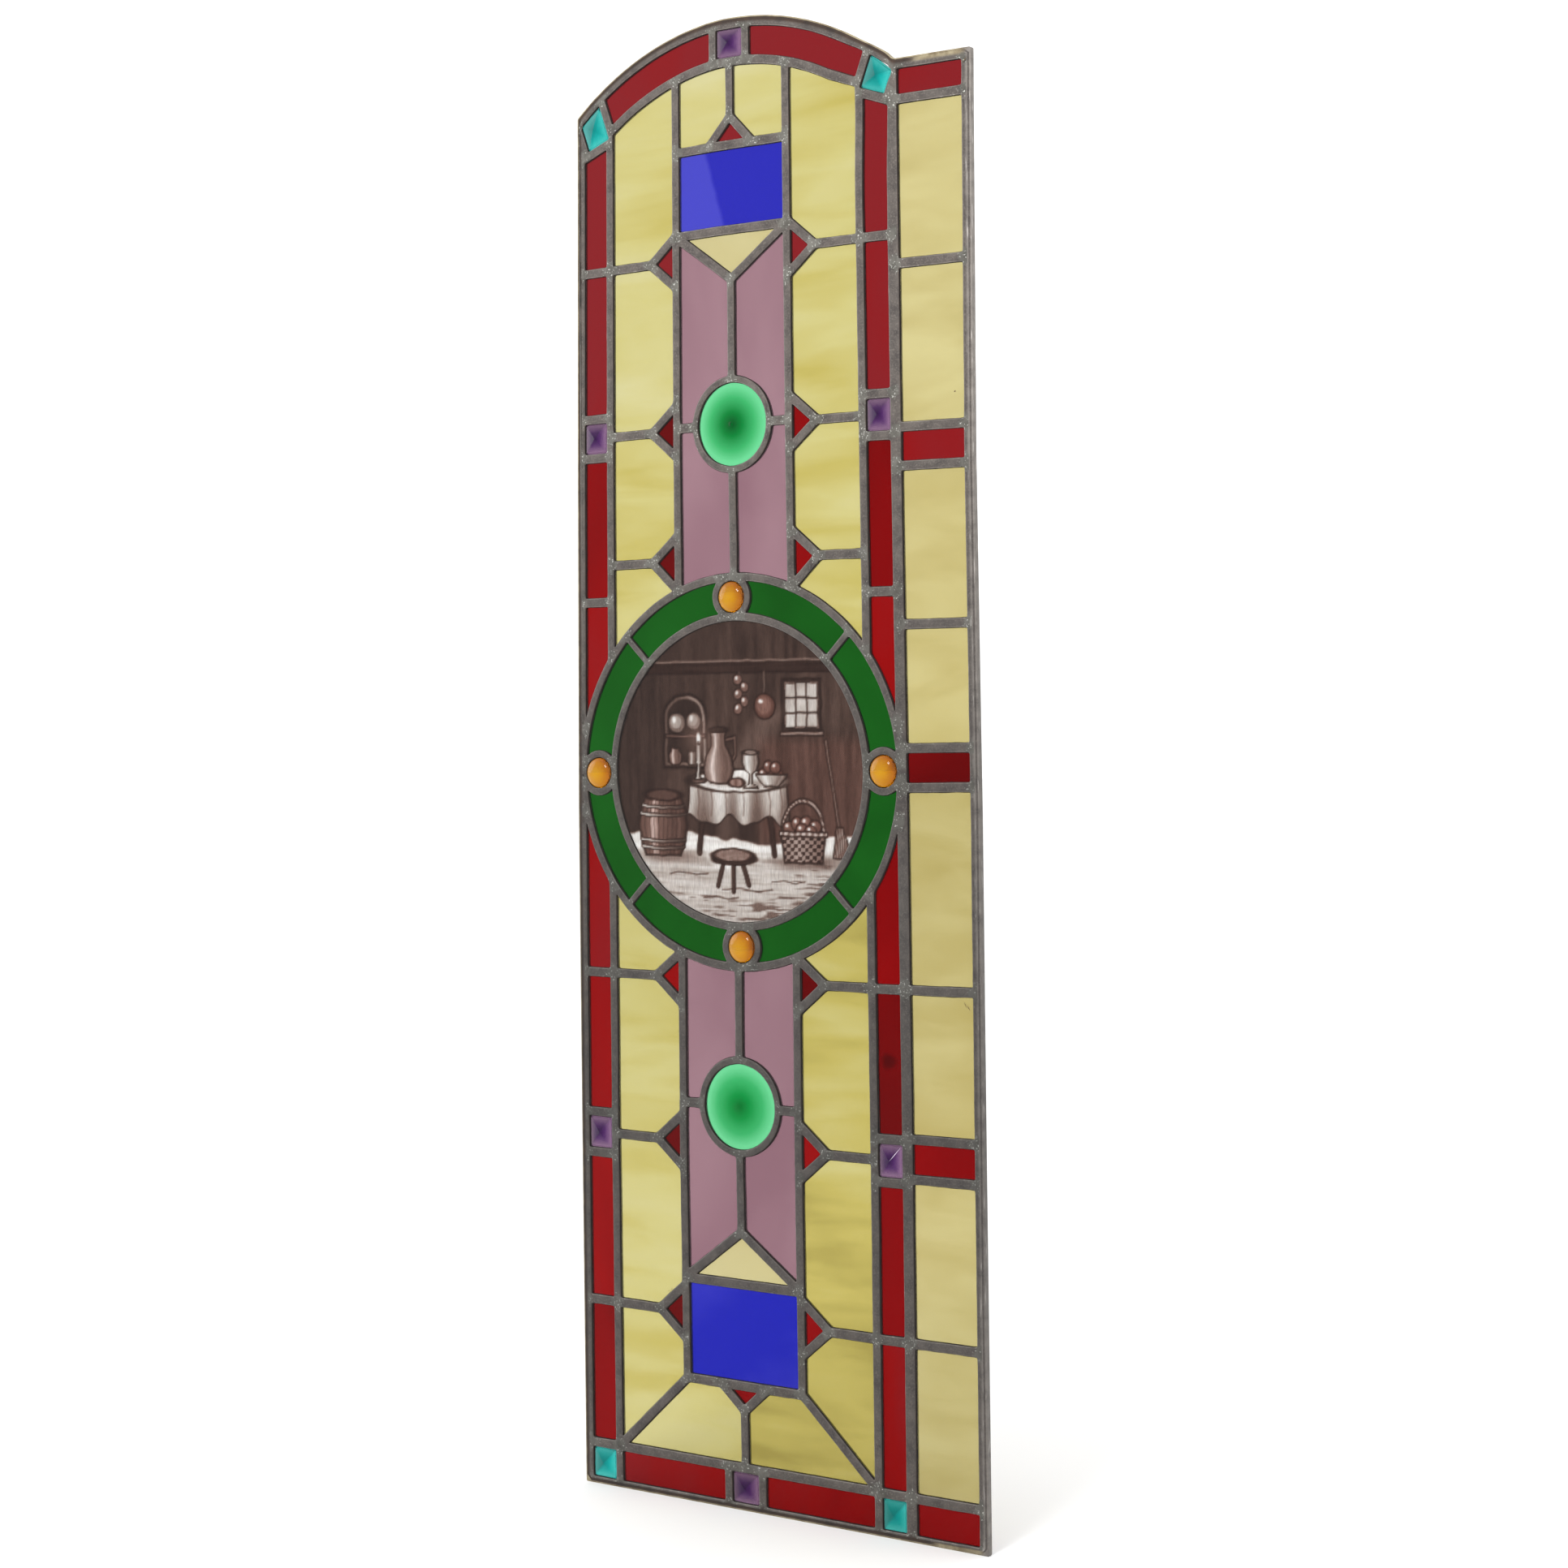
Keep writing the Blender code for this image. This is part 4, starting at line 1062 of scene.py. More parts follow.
def paint_table(art):
    """A round table under a white cloth, with what stands on it."""
    u, v = art.u, art.v
    for x in (-24, 22):
        art.lay(art.stroke([(x, -26), (x * 1.12, -46)], 3.0), 0.14, 0.3, line=0.7)
    hem = -28 - 2.6 * np.sin(u / 4.1) - 1.2 * np.sin(u / 2.3 + 1)
    drape = np.maximum(np.abs(u) - 33 - 0.10 * (-6 - v), np.maximum(hem - v, v + 5))
    folds = 0.80 + 0.17 * np.sin(u / 3.1 + 0.7 * np.sin(u / 8)) - 0.010 * np.clip(-6 - v, 0, 30)
    art.lay(drape, folds - 0.16 * np.clip(u / 34, 0, 1), 0.0, line=0.9)
    for x in (-28, -19, -9, 3, 12, 21, 29):
        crease = [(x, -9), (x + 1.2, -17), (x + 0.4, -25)]
        art.lay(art.stroke(crease, 0.7), 0.36, 0.1, most=0.8)
    art.lay(art.ellipse(0, -5.5, 33.5, 6.2), 0.93 + 0.04 * patches(u, v, 8, 2, 15), line=0.8)
    for x, y, wide in ((-13, -6, 11), (10, -7.5, 7), (22, -5.5, 10)):
        art.lay(art.ellipse(x + 3, y, wide, 2.2), 0.55, 0.0, soft=2.5, most=0.8)
    jug = [(0, 5.5), (2, 8.6), (8, 10.6), (15, 8.8), (21, 5.0), (26, 4.6), (30, 6.2)]
    art.lay(art.stroke([(-7.4, 17), (-1.6, 19), (-1.4, 9), (-4.6, 4)], 2.0), 0.40, 0.3, line=0.7)
    art.vessel(-13, -7, jug, 0.10, 0.66, 0.25)
    art.lay(art.ellipse(-13, 23, 6.2, 1.6), 0.16, 0.2, line=0.6)
    cup = [(0, 5.0), (1.2, 4.2), (2.2, 1.2), (8, 1.0), (10, 4.2), (14, 5.8), (20, 5.2)]
    art.vessel(9, -9.5, cup, 0.16, 0.85)
    art.lay(art.ellipse(9, 10.4, 5.2, 1.4), 0.50, line=0.5)
    for x, y in ((17.5, -1.5), (23.5, -0.5), (28, -2.5), (21, 2.8), (26, 2.2)):
        art.fruit(x, y, 3.4, 3.3, 0.34, 0.8, (1.0, 1.1, 0.8, 0.95))
    art.vessel(23, -8.5, [(0, 4.4), (2, 7), (6, 10.5), (7, 10.5)], 0.18, 0.8)
    art.lay(art.ellipse(-27, -5.5, 5.0, 1.8), 0.42, 0.2, line=0.6)
    art.vessel(-27, -5, [(0, 2.8), (1.5, 1.2), (9, 1.0), (10, 2.2), (11, 1.6), (20, 1.5)], 0.30, 0.9)
    art.lay(art.ellipse(-27, 18, 9, 10), 0.62, 0.3, soft=12, most=0.5)
    art.lay(art.ellipse(-27, 18.2, 1.3, 2.9), 1.0)
    art.lay(art.stroke([(-27, 14.6), (-27, 16.4)], 0.6), 0.05)
    art.lay(art.ellipse(-1, -6.5, 5.6, 2.6), 0.52 + 0.1 * np.sin(u * 1.3), 0.5, line=0.7)


def paint_goods(art):
    """What stands about the floor and hangs on the wall."""
    u, v = art.u, art.v
    art.lay(art.ellipse(-50, -48, 21, 4.5), 0.42, 0.1, soft=4, most=0.8)
    barrel = [(0, 12.5), (8, 15.6), (17, 16.8), (26, 15.6), (34, 12.5)]
    art.vessel(-52, -48, barrel, 0.12, 0.50, 0.45)
    for step in range(-5, 6):
        stave = [(-52 + 2.5 * step, -47), (-52 + 3.3 * step, -31), (-52 + 2.5 * step, -15)]
        art.lay(art.stroke(stave, 0.5), 0.10, 0.2, most=0.7)
    for y, wide in ((-42.5, 15.2), (-38.5, 16.2), (-24, 16.4), (-19.5, 15.0)):
        bend = y - 1.6 * np.sqrt(np.clip(1 - ((u + 52) / wide) ** 2, 0, 1))
        hoop = np.maximum(np.abs(v - bend) - 0.9, np.abs(u + 52) - wide)
        art.lay(hoop, 0.50 - 0.25 * np.clip((u + 52) / 12, -1, 1), 0.0, line=0.5)
    art.lay(art.ellipse(-52, -14, 12.6, 3.2), 0.30, 0.4, line=0.8)
    art.lay(art.ellipse(46, -50, 21, 4.2), 0.40, 0.1, soft=4, most=0.8)
    arch = np.hypot((u - 44) / 13.5, (v + 33) / 17) - 1
    handle = np.maximum(np.abs(arch) * 13 - 1.0, -33 - v)
    art.lay(handle, 0.55 + 0.2 * np.sin(u * 2 + v * 2), 0.3, line=0.6)
    for x, y in ((34.5, -31), (40, -28.5), (46, -28), (52, -30), (43, -32), (49, -33)):
        art.fruit(x, y, 4.0, 3.8, 0.36, 0.7, (1.2, 1.3, 0.9, 0.96))
    weave = 0.46 + 0.22 * np.sign(np.sin(u * 1.25)) * np.sign(np.sin(v * 1.5))
    basket = art.block(29, 59, -50, -34, lean=-0.16)
    art.lay(basket, weave - 0.012 * np.abs(u - 40), 0.3, line=0.9)
    art.lay(art.block(28, 60, -35.6, -33), 0.66 + 0.2 * np.sin(u * 1.6), 0.2, line=0.7)
    for x, y in ((-14, -64), (-3, -67), (7, -63)):
        top = -4 + (x + 4) * 0.55
        art.lay(art.stroke([(top, -49), (x, y)], 2.2), 0.22, 0.4, line=0.7)
    art.lay(art.ellipse(-3, -49, 14, 3.4), 0.16, 0.4, line=0.7)
    art.lay(art.ellipse(-4, -47, 14, 3.6), 0.52 + 0.06 * patches(u, v, 3, 1, 16), 0.3, line=0.7)
    art.lay(art.stroke([(68, -34), (60, 17)], 1.7), 0.50, 0.3, line=0.6)
    sides = np.abs(u - 68.5 + 0.1 * (v + 34)) - 2.2 - 0.22 * (-30 - v)
    brush = np.maximum(sides, np.maximum(v + 30, -47 - v))
    art.lay(brush, 0.44 + 0.24 * np.sin(u * 4 + v * 0.4), 0.3, line=0.7)
    art.lay(art.stroke([(2, 55), (3, 44), (4, 36)], 0.7), 0.45)
    for k in range(5):
        x, y = 3 + (2.3 if k % 2 else -2.0), 51 - 4.1 * k
        art.lay(art.ellipse(x, y, 2.9, 3.1), 0.46, 0.45, line=0.6)
        art.lay(art.ellipse(x - 0.8, y + 0.8, 0.8, 1.0), 0.96)
    art.lay(art.stroke([(19, 55), (19, 43)], 0.8), 0.46)
    art.lay(art.ellipse(19, 36, 7.2, 7.2), 0.32, 0.75, line=0.8)
    art.lay(art.ellipse(18.4, 36.6, 5.2, 5.2), 0.50, 0.7, soft=2)
    art.lay(art.ellipse(16.6, 39, 1.6, 1.0), 0.98)


def painted_glass(name, opening, material):
    """The roundel as a slab with a fine grid on both faces, which carries the painting."""
    centre = opening.middle
    radius = (opening.loop[0] - centre).length
    reach = radius + SEAT_REACH
    steps = int(2 * reach / PAINT_STEP) + 1
    line = (np.arange(steps) - (steps - 1) / 2) * PAINT_STEP
    across, up = np.meshgrid(line, line, indexing="ij")
    kept = np.hypot(across, up) < reach
    ids = np.cumsum(kept).reshape(kept.shape) - 1
    cells = kept[:-1, :-1] & kept[1:, :-1] & kept[1:, 1:] & kept[:-1, 1:]
    quads = np.stack([ids[:-1, :-1], ids[1:, :-1], ids[1:, 1:], ids[:-1, 1:]], axis=-1)[cells]
    x, z = across[kept], up[kept]
    count = len(x)
    points = [(centre.x + a, -GLASS_HALF, centre.y + b) for a, b in zip(x, z)]
    points += [(centre.x + a, GLASS_HALF, centre.y + b) for a, b in zip(x, z)]
    front = [tuple(int(i) for i in quad) for quad in quads]
    arrows = {(q[k], q[(k + 1) % 4]) for q in front for k in range(4)}
    walls = [(b, a, a + count, b + count) for a, b in arrows if (b, a) not in arrows]
    faces = front + [tuple(i + count for i in reversed(q)) for q in front] + sorted(walls)
    piece = make_piece(name, points, faces, [material], smooth_faces=False)
    art = Painting(x * ART_RADIUS / radius, z * ART_RADIUS / radius)
    for part in (paint_room, paint_floor, paint_table, paint_goods):
        part(art)
    paint(piece, "painting", np.concatenate([art.colours()] * 2))
    return piece


# Materials

STUDIO_LIGHT = 1.25


def colour(red, green, blue):
    """A linear colour from three display values of 0 to 255."""
    def linear(value):
        value /= 255
        return value / 12.92 if value <= 0.04045 else ((value + 0.055) / 1.055) ** 2.4

    return (linear(red), linear(green), linear(blue), 1.0)


def glass_colour(red, green, blue):
    """The colour a pane shows with the white studio behind it, as the glass's own tint."""
    return tuple(value / STUDIO_LIGHT for value in colour(red, green, blue)[:3]) + (1.0,)


class Shade:
    """A Principled material and short calls to add nodes to it."""

    def __init__(self, name, roughness, metallic=0.0, transmission=0.0, ior=1.5, coat=0.0, reflection=1.0):
        self.made = bpy.data.materials.new(name)
        self.made.use_nodes = True
        self.nodes = self.made.node_tree.nodes
        self.links = self.made.node_tree.links
        self.shader = self.nodes["Principled BSDF"]
        self.set("Roughness", roughness)
        self.set("Metallic", metallic)
        self.set("Transmission Weight", transmission)
        self.set("IOR", ior)
        self.set("Coat Weight", coat)
        self.set("Specular Tint", (reflection, reflection, reflection, 1.0))
        self.place = self.nodes.new("ShaderNodeTexCoord").outputs["Object"]

    def put(self, socket, source):
        if hasattr(source, "default_value") and hasattr(source, "is_linked"):
            self.links.new(source, socket)
        else:
            socket.default_value = source

    def node(self, kind, **inputs):
        made = self.nodes.new("ShaderNode" + kind)
        for name, source in inputs.items():
            self.put(made.inputs[name], source)
        return made

    def math(self, kind, a, b, clamp=False):
        node = self.nodes.new("ShaderNodeMath")
        node.operation = kind
        node.use_clamp = clamp
        self.put(node.inputs[0], a)
        self.put(node.inputs[1], b)
        return node.outputs[0]

    def sum(self, a, b, clamp=False):
        return self.math("ADD", a, b, clamp)

    def product(self, a, b):
        return self.math("MULTIPLY", a, b)

    def swing(self, source, amount):
        """A value of 0 to 1 as a push of up to half an amount either way."""
        return self.product(self.math("SUBTRACT", source, 0.5), amount)

    def axes(self):
        return self.node("SeparateXYZ", Vector=self.place).outputs

    def scaled(self, x, y, z):
        return self.node("Mapping", Vector=self.place, Scale=(x, y, z)).outputs[0]

    def noise(self, vector, scale, detail=2.0, rough=0.5, distortion=0.0):
        settings = {"Scale": scale, "Detail": detail, "Roughness": rough, "Distortion": distortion}
        return self.node("TexNoise", Vector=vector, **settings).outputs["Fac"]

    def ramp(self, factor, stops):
        node = self.node("ValToRGB", Fac=factor)
        ends = node.color_ramp.elements
        while len(ends) < len(stops):
            ends.new(0.5)
        for end, (place, value) in zip(ends, stops):
            end.position = place
            end.color = value
        return node.outputs["Color"]

    def between(self, factor, dark, light, low=0.3, high=0.7):
        """A drift from a dark colour to a light one."""
        return self.ramp(factor, [(low, colour(*dark)), (high, colour(*light))])

    def grey(self, factor, low, high, dark=0.0, bright=1.0):
        stops = [(low, (dark, dark, dark, 1)), (high, (bright, bright, bright, 1))]
        return self.ramp(factor, stops)

    def mix(self, factor, a, b, kind="MIX"):
        node = self.nodes.new("ShaderNodeMix")
        node.data_type = "RGBA"
        node.blend_type = kind
        self.put(node.inputs["Factor"], factor)
        self.put(node.inputs["A"], a)
        self.put(node.inputs["B"], b)
        return node.outputs["Result"]

    def layer(self, name):
        """A layer painted on the points: its colour, and its three channels."""
        node = self.node("Attribute")
        node.attribute_name = name
        return node.outputs["Color"], self.node("SeparateColor", Color=node.outputs["Color"]).outputs

    def bump(self, height, strength, distance):
        node = self.node("Bump", Height=height, Strength=strength, Distance=distance)
        self.set("Normal", node.outputs[0])

    def rolled(self):
        """The slight waves of rolled glass."""
        self.bump(self.noise(self.place, 30, 1, 0.4), 0.04, 0.0015)

    def set(self, name, source):
        self.put(self.shader.inputs[name], source)


def lead_material():
    """Dull lead, soldered, stained and soiled in places, with painted shade darker to the foot, in grooves
    and on right flanks, and painted highlights and glints along edges.
    """
    shade = Shade("dull_lead_and_solder", 0.5, metallic=0.15)
    _, solder_shade_and_stain = shade.layer("solder_shade_and_stain")
    _, highlights_soil_and_shade = shade.layer("highlights_soil_and_shade")
    cloudy = shade.noise(shade.place, 90, 4, 0.6)
    speckle = shade.noise(shade.place, 700, 3, 0.6)
    body = shade.between(cloudy, (62, 55, 52), (98, 90, 84))
    body = shade.mix(shade.grey(speckle, 0.50, 0.70, 0, 0.6), body, colour(126, 118, 110))
    # Painted highlights along the edges
    edge_highlight = shade.product(highlights_soil_and_shade[0], shade.grey(cloudy, 0.25, 0.65, 0.3, 1.0))
    body = shade.mix(edge_highlight, body, colour(142, 135, 128))
    solder = shade.between(cloudy, (74, 71, 64), (112, 109, 102))
    ragged = shade.sum(solder_shade_and_stain[0], shade.swing(speckle, 0.5))
    joined = shade.mix(shade.grey(ragged, 0.12, 0.32), body, solder)
    # Painted glints on the solder, and painted glinting streaks along the bright edges
    glint = shade.product(shade.grey(speckle, 0.61, 0.67), shade.grey(solder_shade_and_stain[0], 0.02, 0.3))
    joined = shade.mix(glint, joined, colour(206, 206, 198))
    glint_streak = shade.grey(shade.noise(shade.scaled(1.0, 1.0, 0.12), 420, 2), 0.60, 0.70, 0.0, 0.6)
    joined = shade.mix(shade.product(highlights_soil_and_shade[0], glint_streak), joined, colour(206, 200, 194))
    stain = shade.between(cloudy, (126, 110, 82), (172, 160, 130), 0.35, 0.65)
    joined = shade.mix(solder_shade_and_stain[2], joined, stain)
    # Soil in the rim's channel, and painted shade on the cames' right flanks
    soil = shade.between(cloudy, (34, 20, 10), (68, 46, 28))
    joined = shade.mix(highlights_soil_and_shade[1], joined, soil)
    # Painted shade: the groove, the lips and the cames' right flanks go near black
    joined = shade.mix(solder_shade_and_stain[1], joined, colour(22, 13, 12))
    # Painted light and shade by height, darker towards the foot
    height = shade.math("DIVIDE", shade.axes()["Z"], cad_box[1].z)
    daylight = shade.ramp(height, [(at, (dim, dim, dim, 1.0)) for at, dim in DIMMED])
    shade.set("Base Color", shade.mix(1.0, joined, daylight, "MULTIPLY"))
    rough = shade.sum(shade.product(cloudy, 0.25), 0.35)
    shade.set("Roughness", shade.math("SUBTRACT", rough, shade.product(solder_shade_and_stain[0], 0.15)))
    dents = shade.noise(shade.place, 260, 4, 0.6)
    shade.bump(dents, 0.45, 0.0006)
    return shade.made


def putty_material():
    shade = Shade("dark_putty_and_shade", 0.85)
    patchy = shade.noise(shade.place, 400, 3)
    shade.set("Base Color", shade.between(patchy, (14, 8, 8), (34, 24, 20)))
    shade.bump(patchy, 0.5, 0.0004)
    return shade.made


def streaky_glass(name, stops, stretch, scale, tone_share=0.5, reflection=0.12):
    """Rolled glass whose colour drifts in soft streaks, and from pane to pane by its tone."""
    shade = Shade(name, 0.05, transmission=0.85, reflection=reflection)
    _, tone = shade.layer("tone")
    drift = shade.noise(shade.scaled(*stretch), scale, 3, 0.5, 0.4)
    place = shade.sum(drift, shade.swing(tone[0], tone_share), clamp=True)
    shade.set("Base Color", shade.ramp(place, stops))
    shade.rolled()
    return shade.made


def stops_of(*pairs):
    return [(place, glass_colour(*value)) for place, value in pairs]


GLASSES = {
    "yellow": streaky_glass("yellow_glass", stops_of(
        (0.0, (184, 170, 88)), (0.22, (208, 194, 106)), (0.5, (220, 211, 140)), (0.80, (226, 219, 162)),
    ), (0.6, 1.0, 3.2), 9, tone_share=1.0),
    "pale_yellow": streaky_glass("pale_yellow_glass", stops_of(
        (0.15, (200, 184, 114)), (0.80, (224, 213, 152)),
    ), (0.8, 1.0, 2.6), 12),
    "cream": streaky_glass("cream_glass", stops_of(
        (0.20, (212, 199, 140)), (0.80, (221, 211, 158)),
    ), (1.0, 1.0, 2.0), 18),
    "red": streaky_glass("red_glass", stops_of(
        (0.15, (108, 0, 2)), (0.45, (146, 0, 4)), (0.62, (160, 4, 6)), (0.85, (146, 32, 38)),
    ), (1.0, 1.0, 0.5), 6, tone_share=1.0, reflection=0.06),
    "mauve": streaky_glass("mauve_glass", stops_of(
        (0.25, (154, 114, 126)), (0.75, (182, 144, 154)),
    ), (1.0, 1.0, 0.6), 8),
    "green": streaky_glass("green_glass", stops_of(
        (0.30, (16, 88, 18)), (0.70, (24, 104, 26)),
    ), (1.0, 1.0, 1.0), 10, reflection=0.06),
}


def blue_material(name, stops, place, lean, soft, drifting):
    """Blue glass with a paler part on one side of a leaning line through a place."""
    shade = Shade(name, 0.05, transmission=0.85, reflection=0.12)
    axes = shade.axes()
    across = shade.math("SUBTRACT", axes["X"], place[0])
    up = shade.math("SUBTRACT", axes["Z"], place[1])
    gap = shade.product(shade.sum(across, shade.product(up, lean)), 1 / soft)
    drift = shade.swing(shade.noise(shade.scaled(1.0, 1.0, 2.5), 22, 2), drifting)
    gap = shade.sum(gap, drift)
    shade.set("Base Color", shade.ramp(shade.sum(gap, 0.5, clamp=True), stops))
    shade.rolled()
    return shade.made


def jewel_material(name, stops):
    """Pressed glass, deeper in colour to its tip, each facet in painted light and shade by the way it
    faces.
    """
    shade = Shade(name, 0.05, transmission=0.75, reflection=0.15)
    _, facet = shade.layer("facet")
    swirl = shade.swing(shade.noise(shade.place, 260, 3), 0.3)
    depth = shade.ramp(shade.sum(facet[0], swirl, clamp=True), stops)
    # Painted light and shade of each facet
    tone = shade.grey(facet[1], 0.0, 1.0, 0.45, 1.30)
    shade.set("Base Color", shade.mix(1.0, depth, tone, "MULTIPLY"))
    return shade.made


def amber_material():
    """Domed amber glass, with painted shade towards its edge and on its right."""
    shade = Shade("amber_glass", 0.06, transmission=0.85, coat=0.2, reflection=0.2)
    _, depth = shade.layer("depth")
    swirl = shade.swing(shade.noise(shade.place, 90, 2), 0.4)
    # Painted shade on the dome's right side
    shaded_side = shade.swing(depth[1], 0.7)
    deep = shade.sum(shade.product(depth[0], 0.8), shade.sum(swirl, shaded_side), clamp=True)
    shade.set("Base Color", shade.ramp(deep, stops_of(
        (0.05, (224, 164, 10)), (0.45, (206, 136, 0)), (0.80, (174, 92, 0)), (1.0, (110, 52, 4)),
    )))
    return shade.made


def mint_material(name, centre, inner):
    """Spun green glass, pale at its rim and deep in the middle."""
    shade = Shade(name, 0.04, transmission=0.9, reflection=0.1)
    _, depth = shade.layer("depth")
    stops = stops_of((0.0, centre), (0.28, inner), (0.62, (66, 192, 114)), (0.88, (118, 226, 160)))
    shade.set("Base Color", shade.ramp(depth[0], stops))
    shade.bump(shade.noise(shade.place, 120, 2), 0.06, 0.001)
    return shade.made


def painted_material():
    """Brown enamel fired on the glass, thin enough in its lights to let the day through."""
    shade = Shade("fired_sepia_paint", 0.25, transmission=0.5, reflection=0.12)
    painted, _ = shade.layer("painting")
    upright = shade.noise(shade.scaled(1.0, 1.0, 0.14), 900, 3, 0.6)
    streaks = shade.grey(upright, 0.35, 0.75, 0.80, 1.18)
    shade.set("Base Color", shade.mix(1.0, painted, streaks, "MULTIPLY"))
    return shade.made


def glass_for(one):
    if one.node is None:
        return one.kind
    for key in ("cream", "mauve"):
        if key in one.node:
            return key
    if "ring_pane" in one.node:
        return "green"
    if "strip" in one.node:
        return "pale_yellow"
    return "yellow"


def make_blues():
    """The upper pane is paler left of a sharp leaning line, the lower one in soft bands."""
    made = {}
    for node in nodes:
        if "blue" not in node:
            continue
        low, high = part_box(node)
        middle = (low.z + high.z) / 2
        if low.z > (cad_box[0].z + cad_box[1].z) / 2:
            place = (low.x + 0.36 * (high.x - low.x), middle)
            stops = stops_of((0.47, (76, 76, 208)), (0.53, (44, 44, 190)))
            made[node] = blue_material("blue_glass_high", stops, place, 0.30, 0.07, 0.06)
        else:
            place = ((low.x + high.x) / 2, middle)
            pale, deep = (58, 60, 202), (32, 36, 188)
            stops = stops_of((0.0, pale), (0.35, deep), (0.65, deep), (1.0, pale))
            made[node] = blue_material("blue_glass_low", stops, place, -1.6, 0.30, 0.3)
    return made


def red_tone(one, draw):
    """Reds are dull and pinkish towards the top, clear and bright below, with a few deep ones."""
    deep = draw.random() < 0.2
    if one.middle.y > DULL_REDS_FROM:
        return draw.uniform(0.75, 1.1)
    if deep:
        return draw.uniform(0.05, 0.25)
    return draw.uniform(0.4, 0.7)


def pane_tone(one, draw):
    """Each pane's place in the drift of its colour, from 0 deep to 1 pale."""
    tone = draw.random()
    node = one.node or ""
    if one.kind == "red":
        return red_tone(one, draw)
    if "strip" in node:
        return 0.2 + 0.9 * abs(one.middle.y - DARK_STRIP_HEIGHT) + 0.3 * (tone - 0.5)
    share = min(1.0, max(0.0, one.middle.y / cad_box[1].z))
    sort = "other"
    if "mauve" in node:
        sort = "mauve"
    if "yellow" in node and "right" in node:
        sort = "yellow_right"
    foot, rise, spread = PANE_TONES[sort]
    return foot + rise * share + spread * (tone - 0.5)


def build_spot():
    """A dark stain behind the glass of one border pane, fading out to its edge."""
    rows, count = 8, 28
    x, z = SPOT_PLACE
    y = GLASS_HALF + 0.3 * MM
    points = [(x, y, z)]
    depths = [(0.0, 0.0, 0.0, 1.0)]
    for row in range(1, rows + 1):
        for k in range(count):
            angle = 2 * math.pi * k / count
            reach = SPOT_REACH * row / rows * (1 + 0.05 * math.sin(3 * angle + 1))
            points.append((x + reach * math.cos(angle), y, z + 0.85 * reach * math.sin(angle)))
            depths.append((row / rows, 0.0, 0.0, 1.0))
    shade = Shade("dark_stain", 0.3, transmission=1.0, ior=1.01)
    _, depth = shade.layer("depth")
    stops = [(0.0, (96, 100, 100)), (0.55, (104, 108, 108)), (1.0, (255, 255, 255))]
    shade.set("Base Color", shade.ramp(depth[0], [(place, colour(*value)) for place, value in stops]))
    faces = fan(1, count, 0) + bands(1, rows, count)
    piece = make_piece("dark_spot_behind_red_pane", points, faces, [shade.made])
    paint(piece, "depth", depths)


def sliver(start, end, width):
    """The corners of a thin flat mark between two points, facing the front."""
    along = Vector((end[0] - start[0], end[2] - start[2])).normalized()
    aside = Vector((-along.y, along.x)) * (width / 2)
    x, y, z = ((a + b) / 2 for a, b in zip(start, end))
    return [start, (x + aside.x, y, z + aside.y), end, (x - aside.x, y, z - aside.y)]


def build_slivers(name, slivers, material, rough, scale, dark, light):
    points = [point for one in slivers for point in one]
    faces = [tuple(range(first, first + 4)) for first in range(0, len(points), 4)]
    shade = Shade(material, rough)
    patchy = shade.noise(shade.place, scale, 2)
    shade.set("Base Color", shade.between(patchy, dark, light))
    make_piece(name, points, faces, [shade.made])


def build_marks():
    """Wisps and specks caught at the lead's edges, and a painted highlight along the ridge of one jewel.
    """
    wisps = []
    for x, z, turn, length, width, level in MARKS:
        angle = math.radians(turn)
        away = Vector((math.cos(angle), math.sin(angle))) * length * MM / 2
        y = -level * MM
        wisps.append(sliver((x - away.x, y, z - away.y), (x + away.x, y, z + away.y), width * MM))
    build_slivers("wisps_and_specks", wisps, "brown_wisps", 0.7, 900, (70, 50, 26), (104, 84, 46))
    # The painted highlight runs along the jewel's ridge from its tip to its upper right corner
    nearest = min(openings, key=lambda one: (one.middle - Vector(HIGHLIT_JEWEL)).length)
    corners = [nearest.loop[i] for i in nearest.corners]
    centre = centre_of(corners)
    corner = max(corners, key=lambda c: c.x + c.y).lerp(centre, 0.12)
    tip = (centre.x, -GLASS_HALF - JEWEL_RISE - 0.1 * MM, centre.y)
    foot = (corner.x, -GLASS_HALF - JEWEL_STEP - 0.1 * MM, corner.y)
    build_slivers("bright_line_on_jewel_ridge", [sliver(tip, foot, 0.5 * MM)], "bright_ridge",
                  0.3, 400, (196, 180, 200), (226, 216, 228))


